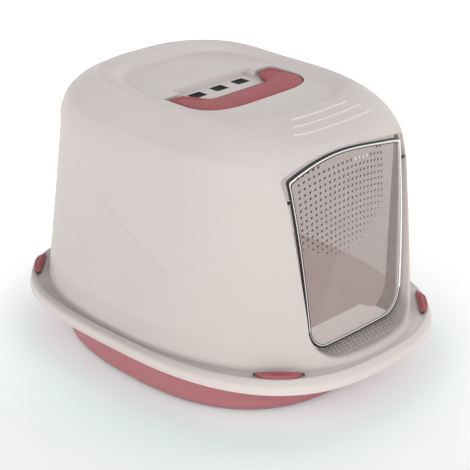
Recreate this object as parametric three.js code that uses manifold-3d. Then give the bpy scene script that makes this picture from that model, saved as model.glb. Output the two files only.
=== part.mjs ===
// Cat litter box with hood: a litter tray, a hood that sits on its rim, a swinging door flap,
// a folding carry handle, four locking clips, and an odour filter in a hinged holder under the roof.
// Millimetres, +Z up. The origin is on the floor under the middle of the box, and the door faces -Y.

import * as THREE from 'three';
import { mergeVertices } from 'three/addons/utils/BufferGeometryUtils.js';
import Module from 'manifold-3d';

const wasm = await Module();
wasm.setup();

// ---- Driving dimensions ----

// Skirt of the hood, which is the widest part of the box
const SKIRT_WIDTH = 407;
const SKIRT_LENGTH = 540;
const SKIRT_SQUARENESS_FRONT = 2.64;
const SKIRT_SQUARENESS_REAR = 3.1;
const SKIRT_DROP = 18.5;
const SKIRT_FLARE = 2.6;
const CREST_HEIGHT = 0.6;
const CREST_SETBACK = 6;
const LEDGE_SETBACK = 9;
const SKIRT_TOP_DEPTH = 2.2;

// Hood walls and roof: how far the foot of the wall stands in from the skirt, and how far the
// shoulder stands in from the foot
const BOX_HEIGHT = 360;
const HOOD_WALL = 2.6;
const FOOT_INSET_SIDE = 13;
const FOOT_INSET_FRONT = 17;
const FOOT_INSET_REAR = 16.5;
const FOOT_FILLET = 4;
const SHOULDER_HEIGHT = 276;
const SHOULDER_INSET_SIDE = 27;
const SHOULDER_INSET_FRONT = 21.5;
const SHOULDER_INSET_REAR = 4.5;
const ROOF_HALF_WIDTH = 116;
const ROOF_FRONT = 140;
const ROOF_REAR = 145;
const FOOT_SQUARENESS_FRONT = 2.2;
const FOOT_SQUARENESS_REAR = 2.6;
const SHOULDER_SQUARENESS_FRONT = 2.65;
const SHOULDER_SQUARENESS_REAR = 2.35;
const ROOF_SQUARENESS_FRONT = 3.3;
const ROOF_SQUARENESS_REAR = 3.4;
const PANEL_SINK = 5.5;
const PANEL_SLOPE = 18;

// Tray
const TRAY_HEIGHT = 74;
const TRAY_WALL = 2.5;
const TRAY_SIDE_DRAFT = 10;
const TRAY_FRONT_DRAFT = 50;
const TRAY_REAR_DRAFT = 34;
const TRAY_FOOT_RADIUS = 22;
const TRAY_FOOT_SQUARENESS = 2.5;
const TRAY_RIM_WIDTH = 7;
const RIM_CLEARANCE = 1;
const RIM_SQUARENESS_FRONT = 2.315;
const RIM_SQUARENESS_REAR = 2.685;

// Door flap and doorway. The flap keeps a margin to the sides of the skirt and to the roof.
const FLAP_BOTTOM = 88;
const FLAP_SIDE_MARGIN = 100.5;
const FLAP_TAPER = 20;
const FLAP_TOP_MARGIN = 26.5;
const FLAP_ARCH = 26.5;
const FLAP_CORNER_RADIUS = 30;
const FLAP_THICKNESS = 2.6;
const FLAP_SETBACK = 60;
const FLAP_LEAN = 0.046;
const FLAP_BEND = 0.0032;
const FLAP_BOW_BOTTOM = 3.5;
const FLAP_BOW_TOP = 21.5;
const FLAP_GAP = 2.5;
const HINGE_SETBACK = 13.2;
const HINGE_DROP = 50.5;
const HINGE_PIN_RADIUS = 2.4;
const HINGE_PIN_LENGTH = 4.5;
const HINGE_BOSS_WALL = 1.6;
const RECESS_TAPER = 11.5;
const RECESS_CORNER_RADIUS = 50;
const RECESS_SETBACK = 4.5;
const RECESS_LEAN = 0.095;
const TUNNEL_DEPTH = 14.8;
const TUNNEL_LEAN = 0.045;
const SILL_DEPTH = 26.8;
const SILL_MARGIN = 11;
const SURROUND_MARGIN = 4;

// Carry handle and its pocket in the roof
const HANDLE_HALF_WIDTH = 89.5;
const HANDLE_FRONT = 61.5;
const HANDLE_BAR_DEPTH = 43.5;
const HANDLE_ARM_WIDTH = 31;
const HANDLE_CORNER_DEPTH = 43;
const HANDLE_CORNER_WIDTH = 59;
const HANDLE_INNER_RADIUS = 24;
const HANDLE_THICKNESS = 8;
const HANDLE_SHELL = 2.4;
const HANDLE_GAP = 2;
const HANDLE_PIVOT_Y = 13;
const HANDLE_PIN_RADIUS = 2.4;
const POCKET_DEPTH = 12.5;
const POCKET_REAR = 44;
const POCKET_REAR_HALF_WIDTH = 70;
const POCKET_ARM_REAR = 22;
const POCKET_MARGIN = 2;

// Vents, filter pad and filter holder
const VENT_WIDTH = 20;
const VENT_DEPTH = 16;
const VENT_PITCH = 38;
const VENT_COUNT = 3;
const VENT_Y = 19;
const PAD_WIDTH = 118;
const PAD_DEPTH = 54;
const PAD_THICKNESS = 6;
const HOLDER_WALL = 2;
const HOLDER_BARREL_RADIUS = 3;
const HOLDER_PIN_RADIUS = 1.5;
const HOLDER_SLOTS = 6;
const HOLDER_SLOT_BRIDGE = 4;
const BARREL_OVERLAP = 0.5;
const LUG_THICKNESS = 3.5;
const LUG_MARGIN = 0.5;

// Locking clips
const CLIP_BEARING_DEGREES = 57.5;
const CLIP_LENGTH = 56;
const CLIP_BULGE = 10;
const CLIP_SETBACK = 16;
const CLIP_THICKNESS = 3.6;
const CLIP_NECK_WIDTH = 22;
const CLIP_NECK_THICKNESS = 2;
const CLIP_NECK_SETBACK = 2.9;
const CLIP_HOOK_REACH = 2.1;
const CLIP_HOOK_DEPTH = 3;
const CLIP_PIN_RADIUS = 1.3;
const CLIP_PIN_LENGTH = 4;
const CLIP_SLOT_LENGTH = 6;
const CLIP_EAR_WALL = 1.2;
const CLIP_TIP_TAPER = 4;

// Fits
const SEAT_GAP = 0.3;
const PIN_CLEARANCE = 0.3;

// Facets
const RING_POINTS = 72;
const WALL_STEPS = 6;
const SHOULDER_STEPS = 6;
const TRAY_FOOT_STEPS = 4;
const DOOR_COLUMNS = 20;
const FLAP_ROWS = 12;
const PIN_SIDES = 16;

// ---- Places worked out from the driving dimensions ----

const ledgeTop = TRAY_HEIGHT + SEAT_GAP + HOOD_WALL;
const skirtBottom = ledgeTop - SKIRT_DROP;
const panelTop = BOX_HEIGHT - PANEL_SINK;
const pocketFloor = panelTop - POCKET_DEPTH;
const pocketUnderside = pocketFloor - HOOD_WALL;
const flapTop = BOX_HEIGHT - FLAP_TOP_MARGIN;
const flapTopHalfWidth = SKIRT_WIDTH / 2 - FLAP_SIDE_MARGIN;
const hingeZ = flapTop - HINGE_DROP;
const flapFront = SKIRT_LENGTH / 2 - FLAP_SETBACK;
const hingeY = HINGE_SETBACK - flapFront;
// How far a cutting tool runs past the wall it cuts
const overshoot = 40;

// ---- Solids ----

function solid(geometry) {
  const bare = geometry.clone();
  bare.deleteAttribute('normal');
  bare.deleteAttribute('uv');
  const merged = mergeVertices(bare, 1e-4);
  return new wasm.Manifold(new wasm.Mesh({
    numProp: 3,
    vertProperties: new Float32Array(merged.attributes.position.array),
    triVerts: new Uint32Array(merged.index.array),
  }));
}

function geometryOf(manifold) {
  const { vertProperties, triVerts } = manifold.getMesh();
  const geometry = new THREE.BufferGeometry();
  geometry.setAttribute('position', new THREE.BufferAttribute(new Float32Array(vertProperties), 3));
  geometry.setIndex(new THREE.BufferAttribute(new Uint32Array(triVerts), 1));
  geometry.computeVertexNormals();
  return geometry;
}

// A closed skin over a stack of rings with equal point counts, flat at both ends
function loft(rings) {
  const count = rings[0].length;
  const points = rings.flat();
  const index = [];
  for (let level = 0; level < rings.length - 1; level += 1) {
    for (let i = 0; i < count; i += 1) {
      const next = (i + 1) % count;
      const [a, b] = [level * count + i, level * count + next];
      const [c, d] = [a + count, b + count];
      index.push(a, b, d, a, d, c);
    }
  }
  const capPoint = (ring) => {
    const centre = new THREE.Vector3();
    ring.forEach((point) => centre.addScaledVector(point, 1 / ring.length));
    return points.push(centre) - 1;
  };
  const low = capPoint(rings[0]);
  const high = capPoint(rings[rings.length - 1]);
  const top = (rings.length - 1) * count;
  for (let i = 0; i < count; i += 1) {
    const next = (i + 1) % count;
    index.push(low, next, i, high, top + i, top + next);
  }
  const geometry = new THREE.BufferGeometry().setFromPoints(points);
  geometry.setIndex(index);
  return solid(geometry);
}

// One ring of an oval that is squarer than an ellipse, with its own front and rear halves
function ovalRing({ halfWidth, front, rear, squareFront, squareRear, z }) {
  const ring = [];
  for (let i = 0; i < RING_POINTS; i += 1) {
    const angle = (2 * Math.PI * i) / RING_POINTS;
    const [c, s] = [Math.cos(angle), Math.sin(angle)];
    const power = s < 0 ? squareFront : squareRear;
    const reach = (Math.abs(c) ** power + Math.abs(s) ** power) ** (-1 / power);
    ring.push(new THREE.Vector3(halfWidth * reach * c, (s < 0 ? front : rear) * reach * s, z));
  }
  return ring;
}

// The oval drawn in by `distance` all round
function inset(oval, distance, z) {
  return {
    ...oval,
    halfWidth: oval.halfWidth - distance,
    front: oval.front - distance,
    rear: oval.rear - distance,
    z,
  };
}

// The oval that lies `share` of the way from one oval to another
function between(low, high, share) {
  const mix = (key) => THREE.MathUtils.lerp(low[key], high[key], share);
  return {
    halfWidth: mix('halfWidth'),
    front: mix('front'),
    rear: mix('rear'),
    squareFront: mix('squareFront'),
    squareRear: mix('squareRear'),
  };
}

function box(sizeX, sizeY, sizeZ, x, y, z) {
  return solid(new THREE.BoxGeometry(sizeX, sizeY, sizeZ).translate(x, y, z));
}

// A round bar along X
function barX(radius, length, x, y, z) {
  const bar = new THREE.CylinderGeometry(radius, radius, length, PIN_SIDES);
  return solid(bar.rotateZ(Math.PI / 2).translate(x, y, z));
}

// A flat outline in X and Y, raised from zLow to zHigh
function slab(shape, zLow, zHigh) {
  const geometry = new THREE.ExtrudeGeometry(shape, { depth: zHigh - zLow, bevelEnabled: false });
  return solid(geometry.translate(0, 0, zLow));
}

// An outline in X and Z, run along Y from yFront to a rear face that passes through yRear
// at the height of the door hinge and leans back by `lean` for each millimetre above it
function prismY(points, yFront, yRear, lean) {
  const shape = new THREE.Shape(points);
  const geometry = new THREE.ExtrudeGeometry(shape, { depth: 1, bevelEnabled: false });
  const position = geometry.attributes.position;
  for (let i = 0; i < position.count; i += 1) {
    const [x, z, depth] = [position.getX(i), position.getY(i), position.getZ(i)];
    position.setXYZ(i, x, depth > 0.5 ? yFront : yRear + lean * (z - hingeZ), z);
  }
  return solid(geometry);
}

// ---- Hood outline, from the skirt edge up and over into the sunk roof panel ----

const skirtOval = {
  halfWidth: SKIRT_WIDTH / 2,
  front: SKIRT_LENGTH / 2,
  rear: SKIRT_LENGTH / 2,
  squareFront: SKIRT_SQUARENESS_FRONT,
  squareRear: SKIRT_SQUARENESS_REAR,
};
const footOval = {
  halfWidth: skirtOval.halfWidth - FOOT_INSET_SIDE,
  front: skirtOval.front - FOOT_INSET_FRONT,
  rear: skirtOval.rear - FOOT_INSET_REAR,
  squareFront: FOOT_SQUARENESS_FRONT,
  squareRear: FOOT_SQUARENESS_REAR,
};
const shoulderOval = {
  halfWidth: footOval.halfWidth - SHOULDER_INSET_SIDE,
  front: footOval.front - SHOULDER_INSET_FRONT,
  rear: footOval.rear - SHOULDER_INSET_REAR,
  squareFront: SHOULDER_SQUARENESS_FRONT,
  squareRear: SHOULDER_SQUARENESS_REAR,
};
const roofOval = {
  halfWidth: ROOF_HALF_WIDTH,
  front: ROOF_FRONT,
  rear: ROOF_REAR,
  squareFront: ROOF_SQUARENESS_FRONT,
  squareRear: ROOF_SQUARENESS_REAR,
};

// Wall, shoulder and dished roof, taken `thickness` inside the outer face
function wallRings(thickness) {
  const rings = [];
  for (let i = 1; i <= WALL_STEPS; i += 1) {
    const share = i / WALL_STEPS;
    const z = THREE.MathUtils.lerp(ledgeTop + FOOT_FILLET, SHOULDER_HEIGHT, share);
    rings.push(inset(between(footOval, shoulderOval, share), thickness, z));
  }
  for (let i = 1; i <= SHOULDER_STEPS; i += 1) {
    const angle = (Math.PI / 2) * (i / SHOULDER_STEPS);
    const rise = (BOX_HEIGHT - thickness - SHOULDER_HEIGHT) * Math.sin(angle);
    const oval = between(shoulderOval, roofOval, 1 - Math.cos(angle));
    rings.push(inset(oval, thickness * Math.cos(angle), SHOULDER_HEIGHT + rise));
  }
  // shares of the slope's run, and of its drop, from the rim down to the flat panel
  const dish = [[0.18, 0.08], [0.55, 0.55], [0.85, 0.93], [1, 1]];
  dish.forEach(([run, drop]) => {
    rings.push(inset(roofOval, PANEL_SLOPE * run, BOX_HEIGHT - thickness - PANEL_SINK * drop));
  });
  return rings.map(ovalRing);
}

function hoodOuter() {
  const skirt = [
    inset(skirtOval, 0, skirtBottom),
    inset(skirtOval, SKIRT_FLARE * 0.35, skirtBottom + SKIRT_DROP * 0.5),
    inset(skirtOval, SKIRT_FLARE, ledgeTop - SKIRT_TOP_DEPTH),
    inset(skirtOval, CREST_SETBACK * 0.7, ledgeTop + CREST_HEIGHT * 0.4),
    inset(skirtOval, CREST_SETBACK, ledgeTop + CREST_HEIGHT),
    inset(skirtOval, LEDGE_SETBACK, ledgeTop),
    inset(footOval, -FOOT_FILLET * 0.35, ledgeTop),
    inset(footOval, -FOOT_FILLET * 0.1, ledgeTop + FOOT_FILLET * 0.35),
    inset(footOval, 0, ledgeTop + FOOT_FILLET),
  ];
  return loft([...skirt.map(ovalRing), ...wallRings(0)]);
}

function hoodInner() {
  const skirt = [
    inset(skirtOval, HOOD_WALL, skirtBottom - 1),
    inset(skirtOval, HOOD_WALL + SKIRT_FLARE * 0.35, skirtBottom + SKIRT_DROP * 0.5),
    inset(skirtOval, HOOD_WALL + SKIRT_FLARE, ledgeTop - HOOD_WALL),
    inset(footOval, HOOD_WALL, ledgeTop - HOOD_WALL),
    inset(footOval, HOOD_WALL, ledgeTop + FOOT_FILLET),
  ];
  return loft([...skirt.map(ovalRing), ...wallRings(HOOD_WALL)]);
}

// ---- Doorway ----

// Outlines in X and Z: straight slanted sides, an arched top, and a flat foot with rounded corners
const flapOutline = {
  bottom: FLAP_BOTTOM,
  bottomHalf: flapTopHalfWidth - FLAP_TAPER,
  corner: flapTop - FLAP_ARCH,
  cornerHalf: flapTopHalfWidth,
  radius: FLAP_CORNER_RADIUS,
};
const doorwayOutline = grown(flapOutline, FLAP_GAP);
const recessOutline = {
  ...doorwayOutline,
  bottomHalf: doorwayOutline.cornerHalf - RECESS_TAPER,
  radius: RECESS_CORNER_RADIUS,
};

function grown(outline, distance) {
  return {
    bottom: outline.bottom - distance,
    bottomHalf: outline.bottomHalf + distance,
    corner: outline.corner + distance,
    cornerHalf: outline.cornerHalf + distance,
    radius: outline.radius + distance,
  };
}

function halfWidthAt(outline, z) {
  const slope = (outline.cornerHalf - outline.bottomHalf) / (outline.corner - outline.bottom);
  return outline.bottomHalf + slope * (z - outline.bottom);
}

function topAt(outline, x) {
  const share = x / outline.cornerHalf;
  return outline.corner + FLAP_ARCH * (1 - share * share);
}

// Lower edge at share u of the half width
function bottomAt(outline, u) {
  const { radius, bottom, bottomHalf } = outline;
  const over = Math.max(Math.abs(u) * bottomHalf - (bottomHalf - radius), 0);
  return bottom + radius - Math.sqrt(Math.max(radius * radius - over * over, 0));
}

// Shares of the half width from -1 to 1, closer together near the sides
const columnShares = Array.from({ length: DOOR_COLUMNS + 1 }, (_, i) => (
  -Math.cos((Math.PI * i) / DOOR_COLUMNS)
));

function outlinePoints(outline) {
  const lower = columnShares.map((u) => {
    const z = bottomAt(outline, u);
    return new THREE.Vector2(u * halfWidthAt(outline, z), z);
  });
  const upper = columnShares.map((u) => {
    const x = u * outline.cornerHalf;
    return new THREE.Vector2(x, topAt(outline, x));
  });
  return [...lower, ...upper.reverse()];
}

// Mid-thickness of the flap: it leans out towards its foot, bends back above the hinge, and its
// middle bows forward
function flapY(x, z) {
  const height = z - hingeZ;
  const middle = FLAP_LEAN * Math.min(height, 0) + FLAP_BEND * Math.max(height, 0) ** 2 - flapFront;
  const rise = THREE.MathUtils.clamp((z - FLAP_BOTTOM) / (flapTop - FLAP_BOTTOM), 0, 1);
  const bow = THREE.MathUtils.lerp(FLAP_BOW_BOTTOM, FLAP_BOW_TOP, rise ** 2);
  return middle + bow * (x / flapTopHalfWidth) ** 2;
}

// Front and back faces on one grid of columns and rows, closed around the edge
function bowedPanel() {
  const [columns, rows] = [DOOR_COLUMNS, FLAP_ROWS];
  const points = [];
  for (const side of [-1, 1]) {
    for (const u of columnShares) {
      const low = bottomAt(flapOutline, u);
      const high = topAt(flapOutline, u * flapTopHalfWidth);
      for (let row = 0; row <= rows; row += 1) {
        const z = THREE.MathUtils.lerp(low, high, row / rows);
        const x = u * Math.min(halfWidthAt(flapOutline, z), flapTopHalfWidth);
        points.push(new THREE.Vector3(x, flapY(x, z) + (side * FLAP_THICKNESS) / 2, z));
      }
    }
  }
  const at = (back, column, row) => (back * (columns + 1) + column) * (rows + 1) + row;
  const index = [];
  const quad = (a, b, c, d) => index.push(a, b, c, a, c, d);
  for (let i = 0; i < columns; i += 1) {
    for (let j = 0; j < rows; j += 1) {
      quad(at(0, i, j), at(0, i + 1, j), at(0, i + 1, j + 1), at(0, i, j + 1));
      quad(at(1, i, j), at(1, i, j + 1), at(1, i + 1, j + 1), at(1, i + 1, j));
    }
    quad(at(0, i, 0), at(1, i, 0), at(1, i + 1, 0), at(0, i + 1, 0));
    quad(at(0, i, rows), at(0, i + 1, rows), at(1, i + 1, rows), at(1, i, rows));
  }
  for (let j = 0; j < rows; j += 1) {
    quad(at(0, 0, j), at(0, 0, j + 1), at(1, 0, j + 1), at(1, 0, j));
    quad(at(0, columns, j), at(1, columns, j), at(1, columns, j + 1), at(0, columns, j + 1));
  }
  const geometry = new THREE.BufferGeometry().setFromPoints(points);
  geometry.setIndex(index);
  return solid(geometry);
}

const pinEnd = halfWidthAt(doorwayOutline, hingeZ) + HINGE_PIN_LENGTH;

function doorFlap() {
  let flap = bowedPanel();
  const length = pinEnd - halfWidthAt(flapOutline, hingeZ) + 2 * HINGE_PIN_RADIUS;
  for (const side of [-1, 1]) {
    flap = flap.add(barX(HINGE_PIN_RADIUS, length, side * (pinEnd - length / 2), hingeY, hingeZ));
  }
  return flap;
}

// Blind sockets for the flap's pins, standing out of the sides of the recess
function hingeBosses() {
  const radius = HINGE_PIN_RADIUS + PIN_CLEARANCE + HINGE_BOSS_WALL;
  const inner = halfWidthAt(doorwayOutline, hingeZ);
  const outer = pinEnd + PIN_CLEARANCE + HINGE_BOSS_WALL;
  return [-1, 1].map((side) => (
    barX(radius, outer - inner, (side * (inner + outer)) / 2, hingeY, hingeZ)
  ));
}

// ---- Handle pocket, vents and handle ----

// Front edge of the handle grown by `reach`, with both rounded corners, drawn from left to right
function drawHandleFront(shape, reach) {
  const wide = HANDLE_HALF_WIDTH + reach;
  const front = HANDLE_FRONT + reach;
  const cornerWidth = HANDLE_CORNER_WIDTH + reach;
  const cornerDepth = HANDLE_CORNER_DEPTH + reach;
  shape.lineTo(-wide, -front + cornerDepth);
  shape.quadraticCurveTo(-wide, -front, -wide + cornerWidth, -front);
  shape.lineTo(wide - cornerWidth, -front);
  shape.quadraticCurveTo(wide, -front, wide, -front + cornerDepth);
}

// Outline of the pocket grown by `grow`: it clears the handle and reaches back behind its grip
function pocketShape(grow) {
  const reach = HANDLE_GAP + grow;
  const wide = HANDLE_HALF_WIDTH + reach;
  const armRear = POCKET_ARM_REAR + grow;
  const narrow = POCKET_REAR_HALF_WIDTH + grow;
  const rear = POCKET_REAR + grow;
  const shape = new THREE.Shape();
  shape.moveTo(-wide, armRear);
  drawHandleFront(shape, reach);
  shape.lineTo(wide, armRear);
  shape.lineTo(narrow, armRear);
  shape.lineTo(narrow, rear);
  shape.lineTo(-narrow, rear);
  shape.lineTo(-narrow, armRear);
  shape.closePath();
  return shape;
}

// U-shaped outline of the handle, taken `edge` inside its rim
function handleShape(edge) {
  const wide = HANDLE_HALF_WIDTH - edge;
  const inner = HANDLE_HALF_WIDTH - HANDLE_ARM_WIDTH + edge;
  const barRear = HANDLE_BAR_DEPTH - HANDLE_FRONT - edge;
  const innerRadius = HANDLE_INNER_RADIUS + edge;
  const armEnd = HANDLE_PIVOT_Y - edge;
  const shape = new THREE.Shape();
  shape.moveTo(-wide, armEnd);
  drawHandleFront(shape, -edge);
  shape.lineTo(wide, armEnd);
  shape.lineTo(inner, armEnd);
  shape.lineTo(inner, barRear + innerRadius);
  shape.quadraticCurveTo(inner, barRear, inner - innerRadius, barRear);
  shape.lineTo(-inner + innerRadius, barRear);
  shape.quadraticCurveTo(-inner, barRear, -inner, barRear + innerRadius);
  shape.lineTo(-inner, armEnd);
  shape.closePath();
  return shape;
}

const handleBottom = pocketFloor + SEAT_GAP;
const handleTop = handleBottom + HANDLE_THICKNESS;
const handlePivotZ = handleBottom + HANDLE_THICKNESS / 2;

function carryHandle() {
  let handle = slab(handleShape(0), handleBottom, handleTop);
  const hollow = slab(handleShape(HANDLE_SHELL), handleBottom - overshoot, handleTop - HANDLE_SHELL);
  handle = handle.subtract(hollow);
  const pinReach = HANDLE_SHELL + HANDLE_GAP + HOOD_WALL - SEAT_GAP;
  for (const side of [-1, 1]) {
    const eyeX = side * (HANDLE_HALF_WIDTH - HANDLE_ARM_WIDTH / 2);
    const pinX = side * (HANDLE_HALF_WIDTH - HANDLE_SHELL + pinReach / 2);
    handle = handle
      .add(barX(HANDLE_THICKNESS / 2, HANDLE_ARM_WIDTH, eyeX, HANDLE_PIVOT_Y, handlePivotZ))
      .add(barX(HANDLE_PIN_RADIUS, pinReach, pinX, HANDLE_PIVOT_Y, handlePivotZ));
  }
  return handle;
}

function ventCutters() {
  const vents = [];
  for (let i = 0; i < VENT_COUNT; i += 1) {
    const x = (i - (VENT_COUNT - 1) / 2) * VENT_PITCH;
    vents.push(box(VENT_WIDTH, VENT_DEPTH, overshoot, x, VENT_Y, pocketFloor));
  }
  return vents;
}

// ---- Filter ----

const padTop = pocketUnderside - SEAT_GAP;
const padBottom = padTop - PAD_THICKNESS;
const gridTop = padBottom - SEAT_GAP;
const gridBottom = gridTop - HOLDER_WALL;
const holderHalfWidth = PAD_WIDTH / 2 + SEAT_GAP + HOLDER_WALL;
const holderHalfDepth = PAD_DEPTH / 2 + SEAT_GAP + HOLDER_WALL;
const holderPivotY = VENT_Y + holderHalfDepth + HOLDER_BARREL_RADIUS - BARREL_OVERLAP;
const holderPivotZ = gridBottom + HOLDER_BARREL_RADIUS;
const lugX = holderHalfWidth + SEAT_GAP + LUG_THICKNESS / 2;

function filterPad() {
  return box(PAD_WIDTH, PAD_DEPTH, PAD_THICKNESS, 0, VENT_Y, (padTop + padBottom) / 2);
}

function filterHolder() {
  const height = padTop - gridBottom;
  const middle = (padTop + gridBottom) / 2;
  let holder = box(2 * holderHalfWidth, 2 * holderHalfDepth, height, 0, VENT_Y, middle);
  const inside = [2 * (holderHalfWidth - HOLDER_WALL), 2 * (holderHalfDepth - HOLDER_WALL)];
  holder = holder.subtract(box(inside[0], inside[1], height, 0, VENT_Y, gridTop + height / 2));
  const pitch = inside[0] / HOLDER_SLOTS;
  for (let i = 0; i < HOLDER_SLOTS; i += 1) {
    const x = (i - (HOLDER_SLOTS - 1) / 2) * pitch;
    const size = [pitch - HOLDER_SLOT_BRIDGE, inside[1] - HOLDER_SLOT_BRIDGE];
    holder = holder.subtract(box(size[0], size[1], 4 * HOLDER_WALL, x, VENT_Y, gridTop));
  }
  holder = holder.add(barX(HOLDER_BARREL_RADIUS, 2 * holderHalfWidth, 0, holderPivotY, holderPivotZ));
  const pinLength = 2 * (lugX + LUG_THICKNESS / 2);
  return holder.add(barX(HOLDER_PIN_RADIUS, pinLength, 0, holderPivotY, holderPivotZ));
}

function holderLugs() {
  const low = holderPivotZ - HOLDER_BARREL_RADIUS;
  const high = panelTop - HOOD_WALL / 2;
  const depth = 2 * (HOLDER_BARREL_RADIUS + LUG_MARGIN);
  return [-1, 1].map((side) => (
    box(LUG_THICKNESS, depth, high - low, side * lugX, holderPivotY, (low + high) / 2)
  ));
}

// ---- Clips ----

const clipPivotZ = ledgeTop + CREST_HEIGHT + SEAT_GAP + CLIP_THICKNESS / 2;

// Place of a clip's straight edge: the middle of it, and the turn that points its +Y outwards
function clipFrame(signX, signY) {
  const bearing = THREE.MathUtils.degToRad(CLIP_BEARING_DEGREES);
  const power = signY < 0 ? SKIRT_SQUARENESS_FRONT : SKIRT_SQUARENESS_REAR;
  const [a, b] = [SKIRT_WIDTH / 2, SKIRT_LENGTH / 2];
  const [dx, dy] = [Math.cos(bearing), Math.sin(bearing)];
  const reach = ((dx / a) ** power + (dy / b) ** power) ** (-1 / power);
  const [x, y] = [reach * dx, reach * dy];
  const normal = new THREE.Vector2(x ** (power - 1) / a ** power, y ** (power - 1) / b ** power);
  normal.normalize();
  const outward = new THREE.Vector3(signX * normal.x, signY * normal.y, 0);
  const centre = new THREE.Vector3(signX * x, signY * y, clipPivotZ).addScaledVector(outward, -CLIP_SETBACK);
  const along = new THREE.Vector3(outward.y, -outward.x, 0);
  return new THREE.Matrix4().makeBasis(along, outward, new THREE.Vector3(0, 0, 1)).setPosition(centre);
}

function inFrame(manifold, frame) {
  return solid(geometryOf(manifold).applyMatrix4(frame));
}

// The clip in its own frame: X along the straight edge, Y outwards, Z up, origin on its pin axis
function clipBody() {
  const half = CLIP_LENGTH / 2;
  const shape = new THREE.Shape();
  shape.moveTo(-half, 0);
  shape.lineTo(half, 0);
  shape.bezierCurveTo(half - CLIP_TIP_TAPER, CLIP_BULGE, half / 2, CLIP_BULGE, 0, CLIP_BULGE);
  shape.bezierCurveTo(-half / 2, CLIP_BULGE, CLIP_TIP_TAPER - half, CLIP_BULGE, -half, 0);
  let clip = slab(shape, -CLIP_THICKNESS / 2, CLIP_THICKNESS / 2);
  clip = clip.add(barX(CLIP_THICKNESS / 2, CLIP_LENGTH, 0, 0, 0));
  clip = clip.add(barX(CLIP_PIN_RADIUS, CLIP_LENGTH + 2 * CLIP_PIN_LENGTH, 0, 0, 0));
  const hookTop = TRAY_HEIGHT - TRAY_WALL - SEAT_GAP - clipPivotZ;
  const hookBottom = hookTop - CLIP_HOOK_DEPTH;
  const neckOuter = CLIP_NECK_SETBACK + CLIP_NECK_THICKNESS;
  const neck = box(
    CLIP_NECK_WIDTH, CLIP_NECK_THICKNESS, -hookBottom,
    0, (CLIP_NECK_SETBACK + neckOuter) / 2, hookBottom / 2,
  );
  const hook = box(
    CLIP_NECK_WIDTH, CLIP_HOOK_REACH + CLIP_NECK_THICKNESS, CLIP_HOOK_DEPTH,
    0, neckOuter - (CLIP_HOOK_REACH + CLIP_NECK_THICKNESS) / 2, (hookTop + hookBottom) / 2,
  );
  return clip.add(neck).add(hook);
}

function clipSlot() {
  const low = CLIP_NECK_SETBACK - SEAT_GAP;
  return box(
    CLIP_NECK_WIDTH + 2 * SEAT_GAP, CLIP_SLOT_LENGTH, overshoot,
    0, low + CLIP_SLOT_LENGTH / 2, 0,
  );
}

function clipEars() {
  const size = 2 * (CLIP_PIN_RADIUS + PIN_CLEARANCE + CLIP_EAR_WALL);
  const low = ledgeTop - HOOD_WALL / 2 - clipPivotZ;
  const length = CLIP_PIN_LENGTH;
  return [-1, 1].map((side) => {
    const x = side * (CLIP_LENGTH / 2 + SEAT_GAP + length / 2);
    const ear = box(length, size, size / 2 - low, x, 0, (low + size / 2) / 2);
    return ear.subtract(barX(CLIP_PIN_RADIUS + PIN_CLEARANCE, length + 1, x, 0, 0));
  });
}

const clipFrames = {
  clip_front_left: clipFrame(-1, -1),
  clip_front_right: clipFrame(1, -1),
  clip_rear_left: clipFrame(-1, 1),
  clip_rear_right: clipFrame(1, 1),
};

// ---- Tray ----

const rimOval = {
  halfWidth: skirtOval.halfWidth - HOOD_WALL - SKIRT_FLARE - RIM_CLEARANCE,
  front: skirtOval.front - HOOD_WALL - SKIRT_FLARE - RIM_CLEARANCE,
  rear: skirtOval.rear - HOOD_WALL - SKIRT_FLARE - RIM_CLEARANCE,
  squareFront: RIM_SQUARENESS_FRONT,
  squareRear: RIM_SQUARENESS_REAR,
};
const trayMouth = inset(rimOval, TRAY_RIM_WIDTH);
const trayFoot = {
  ...trayMouth,
  halfWidth: trayMouth.halfWidth - TRAY_SIDE_DRAFT,
  front: trayMouth.front - TRAY_FRONT_DRAFT,
  rear: trayMouth.rear - TRAY_REAR_DRAFT,
  squareFront: TRAY_FOOT_SQUARENESS,
  squareRear: TRAY_FOOT_SQUARENESS,
};

function trayRings(thickness, top) {
  const rings = [];
  const radius = TRAY_FOOT_RADIUS - thickness;
  for (let i = 0; i <= TRAY_FOOT_STEPS; i += 1) {
    const angle = (Math.PI / 2) * (i / TRAY_FOOT_STEPS);
    const z = TRAY_FOOT_RADIUS - radius * Math.cos(angle);
    rings.push(inset(trayFoot, TRAY_FOOT_RADIUS - radius * Math.sin(angle), z));
  }
  rings.push(inset(trayMouth, thickness, top));
  return rings.map(ovalRing);
}

function tray() {
  const body = loft(trayRings(0, TRAY_HEIGHT));
  const rim = loft([
    ovalRing({ ...rimOval, z: TRAY_HEIGHT - TRAY_WALL }),
    ovalRing({ ...rimOval, z: TRAY_HEIGHT }),
  ]);
  return body.add(rim).subtract(loft(trayRings(TRAY_WALL, TRAY_HEIGHT + 1)));
}

// ---- Hood ----

// Shelf that carries the sill of the doorway on into the cabin
function sillShelf() {
  const top = doorwayOutline.bottom;
  const width = 2 * (flapOutline.bottomHalf - SILL_MARGIN);
  return box(width, SILL_DEPTH, HOOD_WALL, 0, hingeY + SILL_DEPTH / 2, top - HOOD_WALL / 2);
}

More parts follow.
